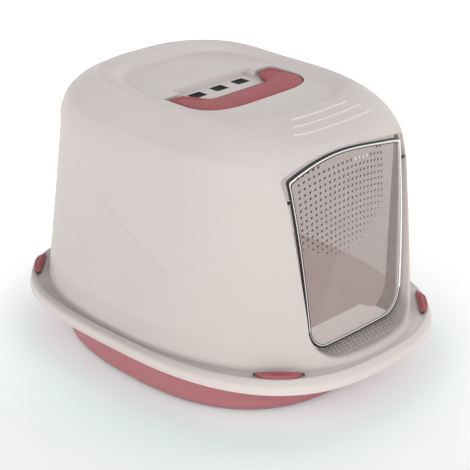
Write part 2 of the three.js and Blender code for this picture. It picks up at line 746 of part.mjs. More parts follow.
function hoodShell() {
  const outside = -SKIRT_LENGTH;
  const recessY = hingeY + RECESS_SETBACK;
  const recessLining = outlinePoints(grown(recessOutline, HOOD_WALL));
  const tunnel = outlinePoints(grown(doorwayOutline, HOOD_WALL));
  const keep = prismY(recessLining, outside, recessY + HOOD_WALL, RECESS_LEAN)
    .add(prismY(tunnel, outside, hingeY + TUNNEL_DEPTH, TUNNEL_LEAN))
    .add(sillShelf())
    .add(slab(pocketShape(HOOD_WALL), pocketUnderside, BOX_HEIGHT));
  let shell = hoodOuter().subtract(hoodInner().subtract(keep));
  shell = shell.subtract(prismY(outlinePoints(recessOutline), outside, recessY, RECESS_LEAN));
  shell = shell.subtract(prismY(outlinePoints(doorwayOutline), outside, 0, 0));
  hingeBosses().forEach((boss) => { shell = shell.add(boss); });
  shell = shell.subtract(slab(pocketShape(0), pocketFloor, BOX_HEIGHT));
  holderLugs().forEach((lug) => { shell = shell.add(lug); });
  ventCutters().forEach((vent) => { shell = shell.subtract(vent); });
  Object.values(clipFrames).forEach((frame) => {
    clipEars().forEach((ear) => { shell = shell.add(inFrame(ear, frame)); });
    shell = shell.subtract(inFrame(clipSlot(), frame));
  });
  const bore = (pinRadius, length, y, z) => {
    shell = shell.subtract(barX(pinRadius + PIN_CLEARANCE, length, 0, y, z));
  };
  bore(HINGE_PIN_RADIUS, 2 * (pinEnd + PIN_CLEARANCE), hingeY, hingeZ);
  bore(HOLDER_PIN_RADIUS, 2 * (lugX + LUG_THICKNESS), holderPivotY, holderPivotZ);
  const handleBore = 2 * (HANDLE_HALF_WIDTH + HANDLE_GAP + HOOD_WALL);
  bore(HANDLE_PIN_RADIUS, handleBore, HANDLE_PIVOT_Y, handlePivotZ);
  return shell;
}

// Box round all of the doorway: its recess, tunnel, sill and hinge bosses
function surroundBox() {
  const halfWidth = recessOutline.cornerHalf + HOOD_WALL + SURROUND_MARGIN;
  const rear = hingeY + SILL_DEPTH + SURROUND_MARGIN;
  const low = doorwayOutline.bottom - HOOD_WALL - SURROUND_MARGIN;
  const high = recessOutline.corner + FLAP_ARCH + HOOD_WALL + SURROUND_MARGIN;
  const front = -SKIRT_LENGTH;
  return box(2 * halfWidth, rear - front, high - low, 0, (front + rear) / 2, (low + high) / 2);
}

// Box round all of the handle's pocket and the lugs of the filter holder
function pocketBox() {
  const halfWidth = HANDLE_HALF_WIDTH + HANDLE_GAP + HOOD_WALL + POCKET_MARGIN;
  const front = -HANDLE_FRONT - HANDLE_GAP - HOOD_WALL - POCKET_MARGIN;
  const rear = holderPivotY + HOLDER_BARREL_RADIUS + LUG_MARGIN + POCKET_MARGIN;
  const low = gridBottom - POCKET_MARGIN;
  const high = BOX_HEIGHT;
  return box(2 * halfWidth, rear - front, high - low, 0, (front + rear) / 2, (low + high) / 2);
}

// The hood is one moulding. It is five nodes that meet face to face, each with collision pieces
// of its own.
function hood() {
  const [upper, skirt] = hoodShell().splitByPlane([0, 0, 1], doorwayOutline.bottom - HOOD_WALL);
  const [surround, above] = upper.split(surroundBox());
  const [pocket, rest] = above.split(pocketBox());
  const [roof, wall] = rest.splitByPlane([0, 0, 1], SHOULDER_HEIGHT);
  return {
    hood_skirt: skirt, hood_wall: wall, hood_roof: roof, door_surround: surround, handle_pocket: pocket,
  };
}

// ---- Materials and scene graph ----

const materials = {
  hood: new THREE.MeshStandardMaterial({ color: 0xd6cfcb, roughness: 0.42, metalness: 0 }),
  pink: new THREE.MeshStandardMaterial({ color: 0xb06a6e, roughness: 0.4, metalness: 0 }),
  flap: new THREE.MeshStandardMaterial({
    color: 0xc8c4c2, roughness: 0.08, metalness: 0, transparent: true, opacity: 0.35,
  }),
  filter: new THREE.MeshStandardMaterial({ color: 0x222222, roughness: 0.95, metalness: 0 }),
};

const assembly = new THREE.Group();

function place(name, manifold, material) {
  const mesh = new THREE.Mesh(geometryOf(manifold), material);
  mesh.name = name;
  assembly.add(mesh);
  return mesh;
}

place('tray', tray(), materials.pink);
Object.entries(hood()).forEach(([name, solidPiece]) => { place(name, solidPiece, materials.hood); });
place('door_flap', doorFlap(), materials.flap);
place('carry_handle', carryHandle(), materials.pink);
place('filter_pad', filterPad(), materials.filter);
place('filter_holder', filterHolder(), materials.hood);
Object.entries(clipFrames).forEach(([name, frame]) => {
  place(name, clipBody(), materials.pink).applyMatrix4(frame);
});

export default assembly;
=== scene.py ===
import math

import bmesh
import bpy
import numpy as np
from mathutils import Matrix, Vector
from mathutils.geometry import tessellate_polygon

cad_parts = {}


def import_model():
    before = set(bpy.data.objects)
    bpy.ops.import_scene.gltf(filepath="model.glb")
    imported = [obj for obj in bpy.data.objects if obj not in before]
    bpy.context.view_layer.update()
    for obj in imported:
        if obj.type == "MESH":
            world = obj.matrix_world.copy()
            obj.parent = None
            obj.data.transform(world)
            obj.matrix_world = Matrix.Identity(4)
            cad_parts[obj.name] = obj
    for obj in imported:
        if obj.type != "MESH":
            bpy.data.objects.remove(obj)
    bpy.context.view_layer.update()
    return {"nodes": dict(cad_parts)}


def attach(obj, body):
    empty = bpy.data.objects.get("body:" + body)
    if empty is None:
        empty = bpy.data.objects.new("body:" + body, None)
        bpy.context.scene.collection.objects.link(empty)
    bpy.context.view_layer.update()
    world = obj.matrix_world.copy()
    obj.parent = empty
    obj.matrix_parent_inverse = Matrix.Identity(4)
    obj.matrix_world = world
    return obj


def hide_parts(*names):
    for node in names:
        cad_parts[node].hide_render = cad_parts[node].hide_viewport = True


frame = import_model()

# ---- Dimensions shared with the CAD part, in millimetres ----

MM = 0.001
SKIRT = dict(half=203.5, front=270.0, rear=270.0, sq_front=2.64, sq_rear=3.1)
FOOT = dict(half=190.5, front=253.0, rear=253.5, sq_front=2.2, sq_rear=2.6)
SHOULDER = dict(half=163.5, front=231.5, rear=249.0, sq_front=2.65, sq_rear=2.35)
ROOF = dict(half=116.0, front=140.0, rear=145.0, sq_front=3.3, sq_rear=3.4)
WALL = 2.6
LEDGE_Z = 76.9
SKIRT_Z = 58.4
FOOT_FILLET = 4.0
SHOULDER_Z = 276.0
TOP_Z = 360.0
PANEL_SINK = 7.5
PANEL_SLOPE = 18.0
PANEL_Z = TOP_Z - PANEL_SINK
POCKET_DEPTH = 8.5
POCKET_Z = PANEL_Z - POCKET_DEPTH

FLAP = dict(bottom=88.0, bottom_half=83.0, corner=307.0, corner_half=101.0, radius=30.0)
FLAP_ARCH = 20.5
FLAP_ARCH_SHIFT = 3.0
FLAP_GAP = 2.5
FLAP_HALF = 103.0
FLAP_FRONT = 210.0
FLAP_LEAN = 0.046
FLAP_BEND = 0.0032
FLAP_BOW = (3.5, 21.5)
FLAP_TOP = FLAP["corner"] + FLAP_ARCH
HINGE_Y = -196.8
HINGE_Z = 283.0
RECESS_Y = HINGE_Y + 4.5
RECESS_LEAN = 0.095
TUNNEL_Y = -182.0
TUNNEL_LEAN = 0.045
SILL_REAR = -170.0

# Points round the rings of the hood's outside and lining, and round the doorway's outline
RING = 480
INNER_RING = 240
OUTLINE = 560

MERGE = 0.004
SHARP_ANGLE = 35.0


# ---- Mesh building ----

class Skin:
    """Points and faces of one mesh while it is being put together. A face's tag is its material's place."""

    def __init__(self):
        self.rows = []
        self.count = 0
        self.faces = []
        self.tags = []

    def add(self, points):
        points = np.asarray(points, float).reshape(-1, 3)
        self.rows.append(points)
        self.count += len(points)
        return np.arange(self.count - len(points), self.count)

    def points(self):
        return np.concatenate(self.rows)

    def moved(self, points):
        """A skin with the same faces on other points."""
        other = Skin()
        other.add(points)
        other.faces, other.tags = self.faces, self.tags
        return other

    def face(self, *ids, tag=0):
        self.faces.append(tuple(int(k) for k in ids))
        self.tags.append(tag)

    def strip(self, a, b, tag=0):
        """Faces between two closed rows of the same length."""
        for i in range(len(a)):
            j = (i + 1) % len(a)
            self.face(a[i], a[j], b[j], b[i], tag=tag)

    def grid(self, rows, tag=0):
        for low, high in zip(rows[:-1], rows[1:]):
            self.strip(low, high, tag)

    def row(self, before, points):
        """Adds a closed row of points and joins it to the row before."""
        ids = self.add(points)
        self.strip(before, ids)
        return ids

    def fan(self, row, tip, tag=0):
        """Triangles from a closed row to a new point."""
        tip = self.add(tip)[0]
        for i in range(len(row)):
            self.face(row[i], row[(i + 1) % len(row)], tip, tag=tag)

    def bridge(self, a, ta, b, tb):
        """Triangles between two closed loops whose places ta and tb rise round from 0 to 1."""
        a, ta = turned(a, ta)
        b, tb = turned(b, tb)
        i = j = 0
        while i < len(a) or j < len(b):
            next_a = ta[i + 1] if i + 1 < len(a) else ta[0] + 1
            next_b = tb[j + 1] if j + 1 < len(b) else tb[0] + 1
            ia, jb = a[i % len(a)], b[j % len(b)]
            if j >= len(b) or (i < len(a) and next_a <= next_b):
                self.face(ia, a[(i + 1) % len(a)], jb)
                i += 1
            else:
                self.face(ia, b[(j + 1) % len(b)], jb)
                j += 1

    def fill(self, outer, holes=(), tag=0, scale=(1, 1, 1)):
        """Triangles over a loop, less its holes. They are worked out on points scaled to lie flat."""
        points = self.points() * scale
        ids = [k for loop in (outer, *holes) for k in loop]
        loops = [[Vector(points[k]) for k in loop] for loop in (outer, *holes)]
        for triangle in tessellate_polygon(loops):
            self.face(*(ids[k] for k in triangle), tag=tag)


def turned(ids, places):
    """The loop started at its lowest place, running upwards."""
    ids, places = np.asarray(ids), np.asarray(places)
    steps = np.diff(np.append(places, places[0]))
    if np.sum(steps > 0) < np.sum(steps < 0):
        ids, places = ids[::-1], places[::-1]
    start = int(np.argmin(places))
    return np.roll(ids, -start), np.maximum.accumulate(np.roll(places, -start))


def at_height(flat, z):
    """Points at X and Y places and one height."""
    return np.column_stack([flat, np.full(len(flat), z)])


def upright(flat, y):
    """Points at X and Z places and the given Y."""
    return np.column_stack([flat[:, 0], y, flat[:, 1]])


def traced(follows):
    """The closed loops in a map from each point to the list of those that follow it."""
    loops = []
    while follows:
        start = here = next(iter(follows))
        loop = []
        while not loop or here != start:
            loop.append(here)
            there = follows[here].pop()
            if not follows[here]:
                del follows[here]
            here = there
        loops.append(loop)
    return loops


def clip_grid(skin, ids, values):
    """Faces of a closed grid of rows where values are above 0, cut along 0. Returns the cut loops."""
    levels, count = ids.shape
    points = skin.points()
    crossings = {}
    follows = {}

    def crossing(*corners):
        low, high = sorted(corners)
        if (low, high) not in crossings:
            start, end = points[ids[low]], points[ids[high]]
            share = values[low] / (values[low] - values[high])
            crossings[low, high] = int(skin.add(start + (end - start) * share)[0])
        return crossings[low, high]

    for level in range(levels - 1):
        around = [np.roll(values[level + up], -on) for up in (0, 1) for on in (0, 1)]
        least, most = np.min(around, 0), np.max(around, 0)
        for i in np.nonzero(most > 0)[0].tolist():
            j = (i + 1) % count
            corners = [(level, i), (level, j), (level + 1, j), (level + 1, i)]
            if least[i] > 0:
                skin.face(*(ids[corner] for corner in corners))
                continue
            face, leaving, entering = [], None, None
            for here, there in zip(corners, corners[1:] + corners[:1]):
                inside, next_inside = values[here] > 0, values[there] > 0
                if inside:
                    face.append(ids[here])
                if inside != next_inside:
                    cut = crossing(here, there)
                    face.append(cut)
                    if inside:
                        leaving = cut
                    else:
                        entering = cut
            skin.face(*face)
            follows[leaving] = [entering]
    return traced(follows)


def domes(skin, balls, tag=0):
    """Closed flattened balls. Each has a centre, two directions, and its size along them and outwards."""
    turns = np.linspace(0, 2 * np.pi, 14, endpoint=False)[:, None]
    for centre, u, v, (a, b, c) in balls:
        out = np.cross(u, v)
        circle = np.cos(turns) * u * a + np.sin(turns) * v * b
        ids = [
            skin.add(centre + circle * math.cos(tilt) + out * (c * math.sin(tilt)))
            for tilt in np.radians([-66, -33, 0, 33, 66])
        ]
        skin.grid(ids, tag)
        skin.fan(ids[0], centre - out * c, tag)
        skin.fan(ids[-1], centre + out * c, tag)


def bumps(skin, centres, size):
    """Flattened balls of one size that face up."""
    domes(skin, [(centre, np.array([1.0, 0, 0]), np.array([0, 1.0, 0]), size) for centre in centres])


def bar(skin, a, b, radius, rounding=0.5, tag=0):
    """A closed round bar from a to b with rounded ends."""
    a, b = np.array(a, float), np.array(b, float)
    axis = (b - a) / np.linalg.norm(b - a)
    side = np.cross(axis, [0, 0, 1.0])
    side /= np.linalg.norm(side)
    up = np.cross(side, axis)
    turns = np.linspace(0, 2 * np.pi, 20, endpoint=False)[:, None]
    circle = np.cos(turns) * side + np.sin(turns) * up
    ids = []
    for end, inward, angles in ((a, axis, (10, 40, 65, 90)), (b, -axis, (90, 65, 40, 10))):
        for angle in np.radians(angles):
            shift = rounding * (1 - math.sin(angle))
            ids.append(skin.add(end + inward * shift + circle * (radius - shift)))
    skin.grid(ids, tag)
    skin.fill(ids[0], tag=tag)
    skin.fill(ids[-1], tag=tag)


def build(name, skin, materials, body, replaces=()):
    """The mesh object of a skin, in metres, with its loose ends cleaned and its normals outward."""
    mesh = bpy.data.meshes.new(name)
    mesh.from_pydata((skin.points() * MM).tolist(), [], skin.faces)
    mesh.polygons.foreach_set("material_index", skin.tags)
    work = bmesh.new()
    work.from_mesh(mesh)
    bmesh.ops.remove_doubles(work, verts=work.verts, dist=MERGE * MM)
    bmesh.ops.dissolve_degenerate(work, edges=work.edges, dist=MERGE * MM)
    loose = [v for v in work.verts if not v.link_faces]
    bmesh.ops.delete(work, geom=loose, context="VERTS")
    bmesh.ops.recalc_face_normals(work, faces=work.faces)
    work.to_mesh(mesh)
    work.free()
    for polygon in mesh.polygons:
        polygon.use_smooth = True
    mesh.set_sharp_from_angle(angle=math.radians(SHARP_ANGLE))
    thing = bpy.data.objects.new(name, mesh)
    bpy.context.scene.collection.objects.link(thing)
    for material in materials:
        mesh.materials.append(material)
    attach(thing, body)
    if replaces:
        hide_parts(*replaces)
    return thing


# ---- Rings and outlines ----

def ring(oval, z, inset=0.0, count=RING):
    """An oval squarer than an ellipse, with its own front and rear halves."""
    angle = np.linspace(0, 2 * np.pi, count, endpoint=False)
    c, s = np.cos(angle), np.sin(angle)
    power = np.where(s < 0, oval["sq_front"], oval["sq_rear"])
    reach = (np.abs(c) ** power + np.abs(s) ** power) ** (-1 / power)
    x = (oval["half"] - inset) * reach * c
    y = np.where(s < 0, oval["front"] - inset, oval["rear"] - inset) * reach * s
    return np.stack([x, y, np.full(count, float(z))], 1)


def between(low, high, share):
    return {key: low[key] + (high[key] - low[key]) * share for key in low}


def curve(points, count):
    """Points spread evenly along a smooth line through the given ones."""
    points = np.asarray(points, float)
    gaps = np.linalg.norm(np.diff(points, axis=0), axis=1)
    place = np.concatenate([[0], np.cumsum(gaps)])
    slopes = np.gradient(points, place, axis=0)
    at = np.linspace(0, place[-1], count)
    k = np.clip(np.searchsorted(place, at, side="right") - 1, 0, len(points) - 2)
    width = (place[k + 1] - place[k])[:, None]
    u = ((at - place[k]) / width[:, 0])[:, None]
    return (
        (2 * u**3 - 3 * u**2 + 1) * points[k]
        + (u**3 - 2 * u**2 + u) * width * slopes[k]
        + (3 * u**2 - 2 * u**3) * points[k + 1]
        + (u**3 - u**2) * width * slopes[k + 1]
    )


def step(value, low, high):
    """0 below low, 1 above high, and smooth between them."""
    u = np.clip((value - low) / (high - low), 0, 1)
    return u * u * (3 - 2 * u)


def bend_points(a, corner, b, shares):
    """Points of a smooth bend from a to b that leans towards a corner."""
    u = shares[:, None]
    return np.array(a) * (1 - u) ** 2 + np.array(corner) * 2 * u * (1 - u) + np.array(b) * u * u


def rounded_path(corners):
    """A closed loop through corners (x, y, radius), each rounded by an arc-like curve."""
    points = []
    for k, (x, y, radius) in enumerate(corners):
        here = np.array([x, y])
        ends = []
        for near in (corners[k - 1], corners[(k + 1) % len(corners)]):
            way = np.array(near[:2]) - here
            length = np.linalg.norm(way)
            ends.append(here + way / length * min(radius, length / 2))
        points.append(bend_points(ends[0], here, ends[1], np.linspace(0, 1, 12)))
    return np.concatenate(points)


def rounded_rectangle(width, depth, radius, x, y, per_corner=7):
    points = []
    for k, (sx, sy) in enumerate(((1, 1), (-1, 1), (-1, -1), (1, -1))):
        for angle in np.radians(np.linspace(90 * k, 90 * k + 90, per_corner)):
            points.append((
                x + sx * (width / 2 - radius) + radius * math.cos(angle),
                y + sy * (depth / 2 - radius) + radius * math.sin(angle),
            ))
    return np.array(points)


def spaced(loop, gap):
    """The closed loop with points a steady gap apart."""
    closed = np.vstack([loop, loop[:1]])
    steps = np.linalg.norm(np.diff(closed, axis=0), axis=1)
    place = np.concatenate([[0], np.cumsum(steps)])
    at = np.linspace(0, place[-1], max(int(place[-1] / gap), 12), endpoint=False)
    return np.column_stack([np.interp(at, place, closed[:, k]) for k in range(2)])


def inwards(loop):
    """Unit directions to the inside of a counter-clockwise loop."""
    along = np.roll(loop, -1, 0) - np.roll(loop, 1, 0)
    along /= np.linalg.norm(along, axis=1)[:, None]
    return np.column_stack([-along[:, 1], along[:, 0]])


SOFTENING = np.array([1, 4, 6, 4, 1]) / 16


def soft_loop(points, rounds=2):
    """A closed loop with its sharp corners eased."""
    for _ in range(rounds):
        points = sum(w * np.roll(points, k - 2, 0) for k, w in enumerate(SOFTENING))
    return points


def at_place(loop, place):
    """Points of a closed loop at fractional indices."""
    k = np.floor(place).astype(int) % len(loop)
    u = (place - np.floor(place))[:, None]
    return loop[k] * (1 - u) + loop[(k + 1) % len(loop)] * u


def distance_to(loop, points):
    """Signed distance to a closed loop, positive outside, and the place of the nearest point on it."""
    a = loop
    b = np.roll(loop, -1, 0)
    d = b - a
    length = np.maximum((d * d).sum(1), 1e-12)
    distance = np.empty(len(points))
    place = np.empty(len(points))
    for low in range(0, len(points), 4000):
        q = points[low:low + 4000, None, :]
        u = np.clip(((q - a) * d).sum(2) / length, 0, 1)
        gap = q - (a + u[..., None] * d)
        square = (gap * gap).sum(2)
        k = square.argmin(1)
        rows = np.arange(len(k))
        x, y = points[low:low + 4000].T
        straddles = (a[:, 1] > y[:, None]) != (b[:, 1] > y[:, None])
        with np.errstate(divide="ignore", invalid="ignore"):
            cross = a[:, 0] + (y[:, None] - a[:, 1]) / d[:, 1] * d[:, 0]
        inside = (straddles & (cross > x[:, None])).sum(1) % 2 == 1
        distance[low:low + 4000] = np.sqrt(square[rows, k]) * np.where(inside, -1, 1)
        place[low:low + 4000] = k + u[rows, k]
    return distance, place


def grown(outline, distance):
    return {key: value + (-distance if key == "bottom" else distance) for key, value in outline.items()}


def outline_points(outline, shares):
    """Doorway outline in X and Z, counter-clockwise, at the given shares of its four stretches."""
    bottom, radius = outline["bottom"], outline["radius"]
    slope = (outline["corner_half"] - outline["bottom_half"]) / (outline["corner"] - bottom)
    points = np.zeros((len(shares), 2))
    for k, share in enumerate(shares):
        part, v = int(share), share - int(share)
        if part == 0:
            u = 2 * v - 1
            u = 0.35 * u + 0.65 * math.sin(math.pi / 2 * u)
            over = max(abs(u) * outline["bottom_half"] - (outline["bottom_half"] - radius), 0)
            z = bottom + radius - math.sqrt(max(radius * radius - over * over, 0))
            points[k] = u * (outline["bottom_half"] + slope * (z - bottom)), z
        elif part == 2:
            x = (1 - 2 * v) * outline["corner_half"]
            share = x / outline["corner_half"]
            rise = FLAP_ARCH * (1 - share**2) - FLAP_ARCH_SHIFT * math.sin(math.pi * share)
            points[k] = x, outline["corner"] + rise
        else:
            rise = v if part == 1 else 1 - v
            z = bottom + radius + (outline["corner"] - bottom - radius) * rise
            side = 1 if part == 1 else -1
            points[k] = side * (outline["bottom_half"] + slope * (z - bottom)), z
    return points


def even_shares():
    """Shares that space the doorway outline's points evenly."""
    fine = np.linspace(0, 4, 8001)[:-1]
    points = outline_points(grown(FLAP, FLAP_GAP), fine)
    gaps = np.linalg.norm(np.roll(points, -1, 0) - points, axis=1)
    place = np.concatenate([[0], np.cumsum(gaps)])
    return np.interp(np.linspace(0, place[-1], OUTLINE, endpoint=False), place, np.append(fine, 4.0))


SHARES = even_shares()


def door_loop(outline, distance=0.0):
    return soft_loop(outline_points(grown(outline, distance), SHARES))


def flap_y(x, z):
    """Middle of the flap's thickness at X and Z."""
    rise = np.clip((z - FLAP["bottom"]) / (FLAP_TOP - FLAP["bottom"]), 0, 1)
    bow = FLAP_BOW[0] + (FLAP_BOW[1] - FLAP_BOW[0]) * rise**2
    over = z - HINGE_Z
    return (
        FLAP_LEAN * np.minimum(over, 0) + FLAP_BEND * np.maximum(over, 0) ** 2
        - FLAP_FRONT + bow * (x / FLAP_HALF) ** 2
    )


RECESS = dict(grown(FLAP, FLAP_GAP), bottom_half=89.0, corner_half=108.0, radius=36.0)
DOORWAY = grown(FLAP, FLAP_GAP)

recess_line = door_loop(RECESS)
recess_out = door_loop(RECESS, 1.0) - recess_line
doorway_line = door_loop(DOORWAY)
doorway_out = door_loop(DOORWAY, 1.0) - doorway_line
flap_edge = door_loop(FLAP)
flap_inward = flap_edge - door_loop(FLAP, 1.0)


# ---- Hood ----

# Material places of the hood's faces; the jambs take a painted shade, the ribs' crests a painted highlight,
# the sill, the tunnel's top and the lining a painted glow
OUTSIDE, LINING, JAMB, CREST, SILL = range(5)

# Setback from the skirt's outline, and height, from the skirt's foot over the crest of the ledge's rim
SKIRT_PROFILE = [
    (0.0, 59.2), (0.0, 60.3), (0.45, 61.6), (0.75, 64.5), (1.2, 68.0), (2.0, 71.4),
    (3.0, 74.2), (4.3, 76.3), (6.0, 77.45), (7.6, 77.2), (9.0, LEDGE_Z),
]
SKIRT_EDGE = ((0.18, 58.75), (0.6, 58.45), (1.2, SKIRT_Z), (1.9, 58.45), (2.4, 58.75))
SKIRT_LINING = ((WALL, 59.2), (WALL + 0.9, 67.6), (WALL + 2.2, 72.6), (WALL + 3.4, LEDGE_Z - WALL))
PANEL_MIDDLE = 112.0

# Rows of the outside and of the lining where the roof starts
ROOF_ROW = 175
INNER_ROOF_ROW = 60
LINING_SUNK = 1.3 * WALL

CREASE_Z = 323.0
CREASE_DEPTH = 0.85

# The front slope's ribs: height and half length of each, their middle, and their section
RIBS = ((358.4, 51.0), (355.0, 61.0), (349.8, 69.0))
RIB_MIDDLE = -7.0
RIB_CREST = 1.7
RIB_WIDTH = 1.4
RIB_STEP = 0.6
RIB_STEP_LENGTH = 8.0

# The two grooves across the rear of the roof's panel: Y and half length
REAR_GROOVES = ((111.0, 49.0), (80.0, 61.5))
REAR_RISE = 3.2

# The slanting step on each flank: its height at Y = 0, its slope, its depth and half its width
FLANK_Z = 208.0
FLANK_SLOPE = 0.475
FLANK_DEPTH = 2.9
FLANK_HALF = 3.2

# Offset from the pocket's wall, and depth below the panel as a share of the pocket's depth
POCKET_SIDE = [
    (1.0, 0), (0.6, 0.01), (0.28, 0.035), (0.07, 0.075), (0, 0.12), (0, 0.3), (0, 0.5), (0, 0.7),
    (0, 0.88), (-0.1, 0.93), (-0.38, 0.97), (-0.9, 0.995), (-1.5, 1.0),
]
POCKET_REAR = [
    (6.0, 0), (4.8, 0.015), (3.8, 0.06), (3.0, 0.14), (2.4, 0.25), (1.9, 0.36), (1.4, 0.5), (1.0, 0.65),
    (0.6, 0.81), (0.4, 0.89), (0.1, 0.95), (-0.4, 0.99), (-1.5, 1.0),
]
VENT_SIZE = (20.6, 16.0)
VENT_Y = 18.5
VENTS_X = (-37.5, 0.0, 37.5)

TREAD_PITCH = 6.6
TREAD_SIZE = (2.2, 2.2, 1.25)
TREAD_FRONT = -215.5

CLIPS = {
    "clip_front_left": (-1, -1),
    "clip_front_right": (1, -1),
    "clip_rear_left": (-1, 1),
    "clip_rear_right": (1, 1),
}


def upper_rings(wall, count, side_rows, angles, slope_rows, slope_start, panel_rows):
    """Rings from the foot of the hood's side over the shoulder to the middle of the roof's panel."""
    rings = []
    foot_z = LEDGE_Z + FOOT_FILLET
    for share in np.linspace(0, 1, side_rows)[1:]:
        z = foot_z + (SHOULDER_Z - foot_z) * share
        rings.append(ring(between(FOOT, SHOULDER, share), z, wall, count))
    for angle in np.radians(angles):
        oval = between(SHOULDER, ROOF, 1 - math.cos(angle))
        z = SHOULDER_Z + (TOP_Z - wall - SHOULDER_Z) * math.sin(angle)
        rings.append(ring(oval, z, wall * math.cos(angle), count))
    for share in np.linspace(0, 1, slope_rows)[1:]:
        drop = PANEL_SINK * step(share, slope_start, 1.0)
        rings.append(ring(ROOF, TOP_Z - wall - drop, PANEL_SLOPE * share, count))
    for inset in np.linspace(PANEL_SLOPE, PANEL_MIDDLE, panel_rows)[1:]:
        rings.append(ring(ROOF, PANEL_Z - wall, inset, count))
    return rings


def outer_rings():
    rings = [ring(SKIRT, z, inset) for inset, z in curve(SKIRT_PROFILE, 26)]
    crest, ledge_in = rings[-1], ring(FOOT, LEDGE_Z, -FOOT_FILLET)
    rings += [crest * (1 - share) + ledge_in * share for share in np.linspace(0, 1, 6)[1:]]
    for angle in np.radians(np.linspace(0, 90, 8)[1:]):
        drop = FOOT_FILLET * (1 - math.cos(angle))
        rings.append(ring(FOOT, LEDGE_Z + drop, -FOOT_FILLET * (1 - math.sin(angle))))
    angles = np.concatenate([np.linspace(0, 55, 34)[1:], np.linspace(55, 90, 62)[1:]])
    return np.array(rings + upper_rings(0.0, RING, 60, angles, 17, 0.02, 90))


def inner_rings():
    rings = [ring(SKIRT, z, inset, INNER_RING) for inset, z in SKIRT_LINING]
    crest, foot = rings[-1], ring(FOOT, LEDGE_Z - WALL, WALL, INNER_RING)
    rings += [crest * (1 - share) + foot * share for share in np.linspace(0, 1, 9)[1:]]
    rings.append(ring(FOOT, LEDGE_Z + FOOT_FILLET, WALL, INNER_RING))
    angles = np.linspace(0, 90, 27)[1:]
    return np.array(rings + upper_rings(WALL, INNER_RING, 22, angles, 7, 0.0, 33))


def softened(rings, centre_z, reach, rounds):
    """Eases the bend of the side at a height, over rings within reach of it."""
    weight = np.clip(1 - np.abs(rings[:, 0, 2] - centre_z) / reach, 0, 1)
    weight[150:] = 0
    weight = (weight[1:-1] * 0.5)[:, None, None]
    for _ in range(rounds):
        middle = (rings[:-2] + rings[2:]) / 2
        rings[1:-1] += weight * (middle - rings[1:-1])
    return rings


def grid_normals(rings):
    along = np.roll(rings, -1, 1) - np.roll(rings, 1, 1)
    up = np.gradient(rings, axis=0)
    normal = np.cross(along, up)
    return normal / np.maximum(np.linalg.norm(normal, axis=2, keepdims=True), 1e-9)


def creased(rings, softening=((4, 5), (12, 45)), sunk=0.0):
    """Flattens the band between the shoulder and the rim of the roof along both flanks.
    Softening is the reach and the rounds of easing at the band's lower and upper edge."""
    wall = int(np.nonzero(rings[:, 0, 2] >= CREASE_Z)[0][0])
    rim = int(np.nonzero(rings[:, 0, 2] >= TOP_Z - sunk - 0.3)[0][0])
    low, high = rings[wall], rings[rim]
    band = rings[wall:rim + 1]
    share = (band[..., 2] - low[:, 2]) / (high[:, 2] - low[:, 2])
    flat = low + (high - low) * share[..., None]
    y = low[:, 1]
    weight = CREASE_DEPTH * (1 - step(-y, 90, 200)) * (1 - step(y, 150, 245))
    rings[wall:rim + 1] = band + (flat - band) * weight[:, None]
    for centre, (reach, rounds) in zip((wall, rim), softening):
        for _ in range(rounds):
            near = rings[centre - reach:centre + reach + 1]
            near[1:-1] += ((near[:-2] + near[2:]) / 2 - near[1:-1]) * 0.5
    return rings


def set_back(rings, sunk=0.0, roof_row=ROOF_ROW):
    """Draws the front back to the flap round the top of the doorway, where the two are nearly flush."""
    below_roof = (np.arange(len(rings)) < roof_row)[:, None]
    front = (rings[..., 1] < -120) & (rings[..., 2] > 270) & below_roof
    x, y, z = rings[front].T
    distance, _ = distance_to(doorway_line, np.column_stack([x, z]))
    weight = (1 - step(distance, 0, 34)) * step(z, 272, 306)
    flush = flap_y(x, z) - 2.0 + sunk
    rings[front] = np.column_stack([x, y + np.maximum(flush - y, 0) * weight, z])
    return rings


def moulded(rings):
    """Raises the roof's rear rim, and adds the ribs, the panel's grooves and the flanks' steps.
    Returns the rings and the points on the crests of the ribs."""
    x, y, z = rings[..., 0], rings[..., 1], rings[..., 2]
    z += REAR_RISE * step(y, 20, 110) * step(z, PANEL_Z + 0.1, TOP_Z - 2.5)
    lift = np.zeros(x.shape)
    crest = np.zeros(x.shape, bool)
    slope = (y < -90) & (z > 330) & (np.arange(len(rings)) < 190)[:, None]
    for height, half in RIBS:
        # length down the slope from the rib, positive below it
        fall = (height - z) * np.where(z > 356, 6.0, np.where(z > 353, 3.6, 2.6))
        tread = np.clip(1 + fall / RIB_STEP_LENGTH, 0, 1) * (fall <= 0)
        ridge = RIB_STEP * tread + RIB_CREST * np.exp(-(fall / RIB_WIDTH) ** 2)
        ridge = ridge * (1 - step(np.abs(x - RIB_MIDDLE), half - 7, half))
        lift += np.where(slope, ridge, 0)
        crest |= slope & (ridge > 0.75)
    flat = (np.arange(len(rings)) > 170)[:, None] & (y > 48)
    for rear, half in REAR_GROOVES:
        groove = np.exp(-((y - rear) / 1.3) ** 2)
        lift -= np.where(flat, groove * (1 - step(np.abs(x - 5), half - 5, half)), 0)
    off_line = (z - FLANK_Z - FLANK_SLOPE * y) / math.hypot(1, FLANK_SLOPE)
    fade = step(y, -150, -10) * (1 - step(y, 190, 240)) * (1 - step(z, 290, 330)) * step(z, 84, 110)
    lift += FLANK_DEPTH * step(off_line, -FLANK_HALF, FLANK_HALF) * fade * step(np.abs(x), 90, 130)
    return rings + grid_normals(rings) * lift[..., None], crest


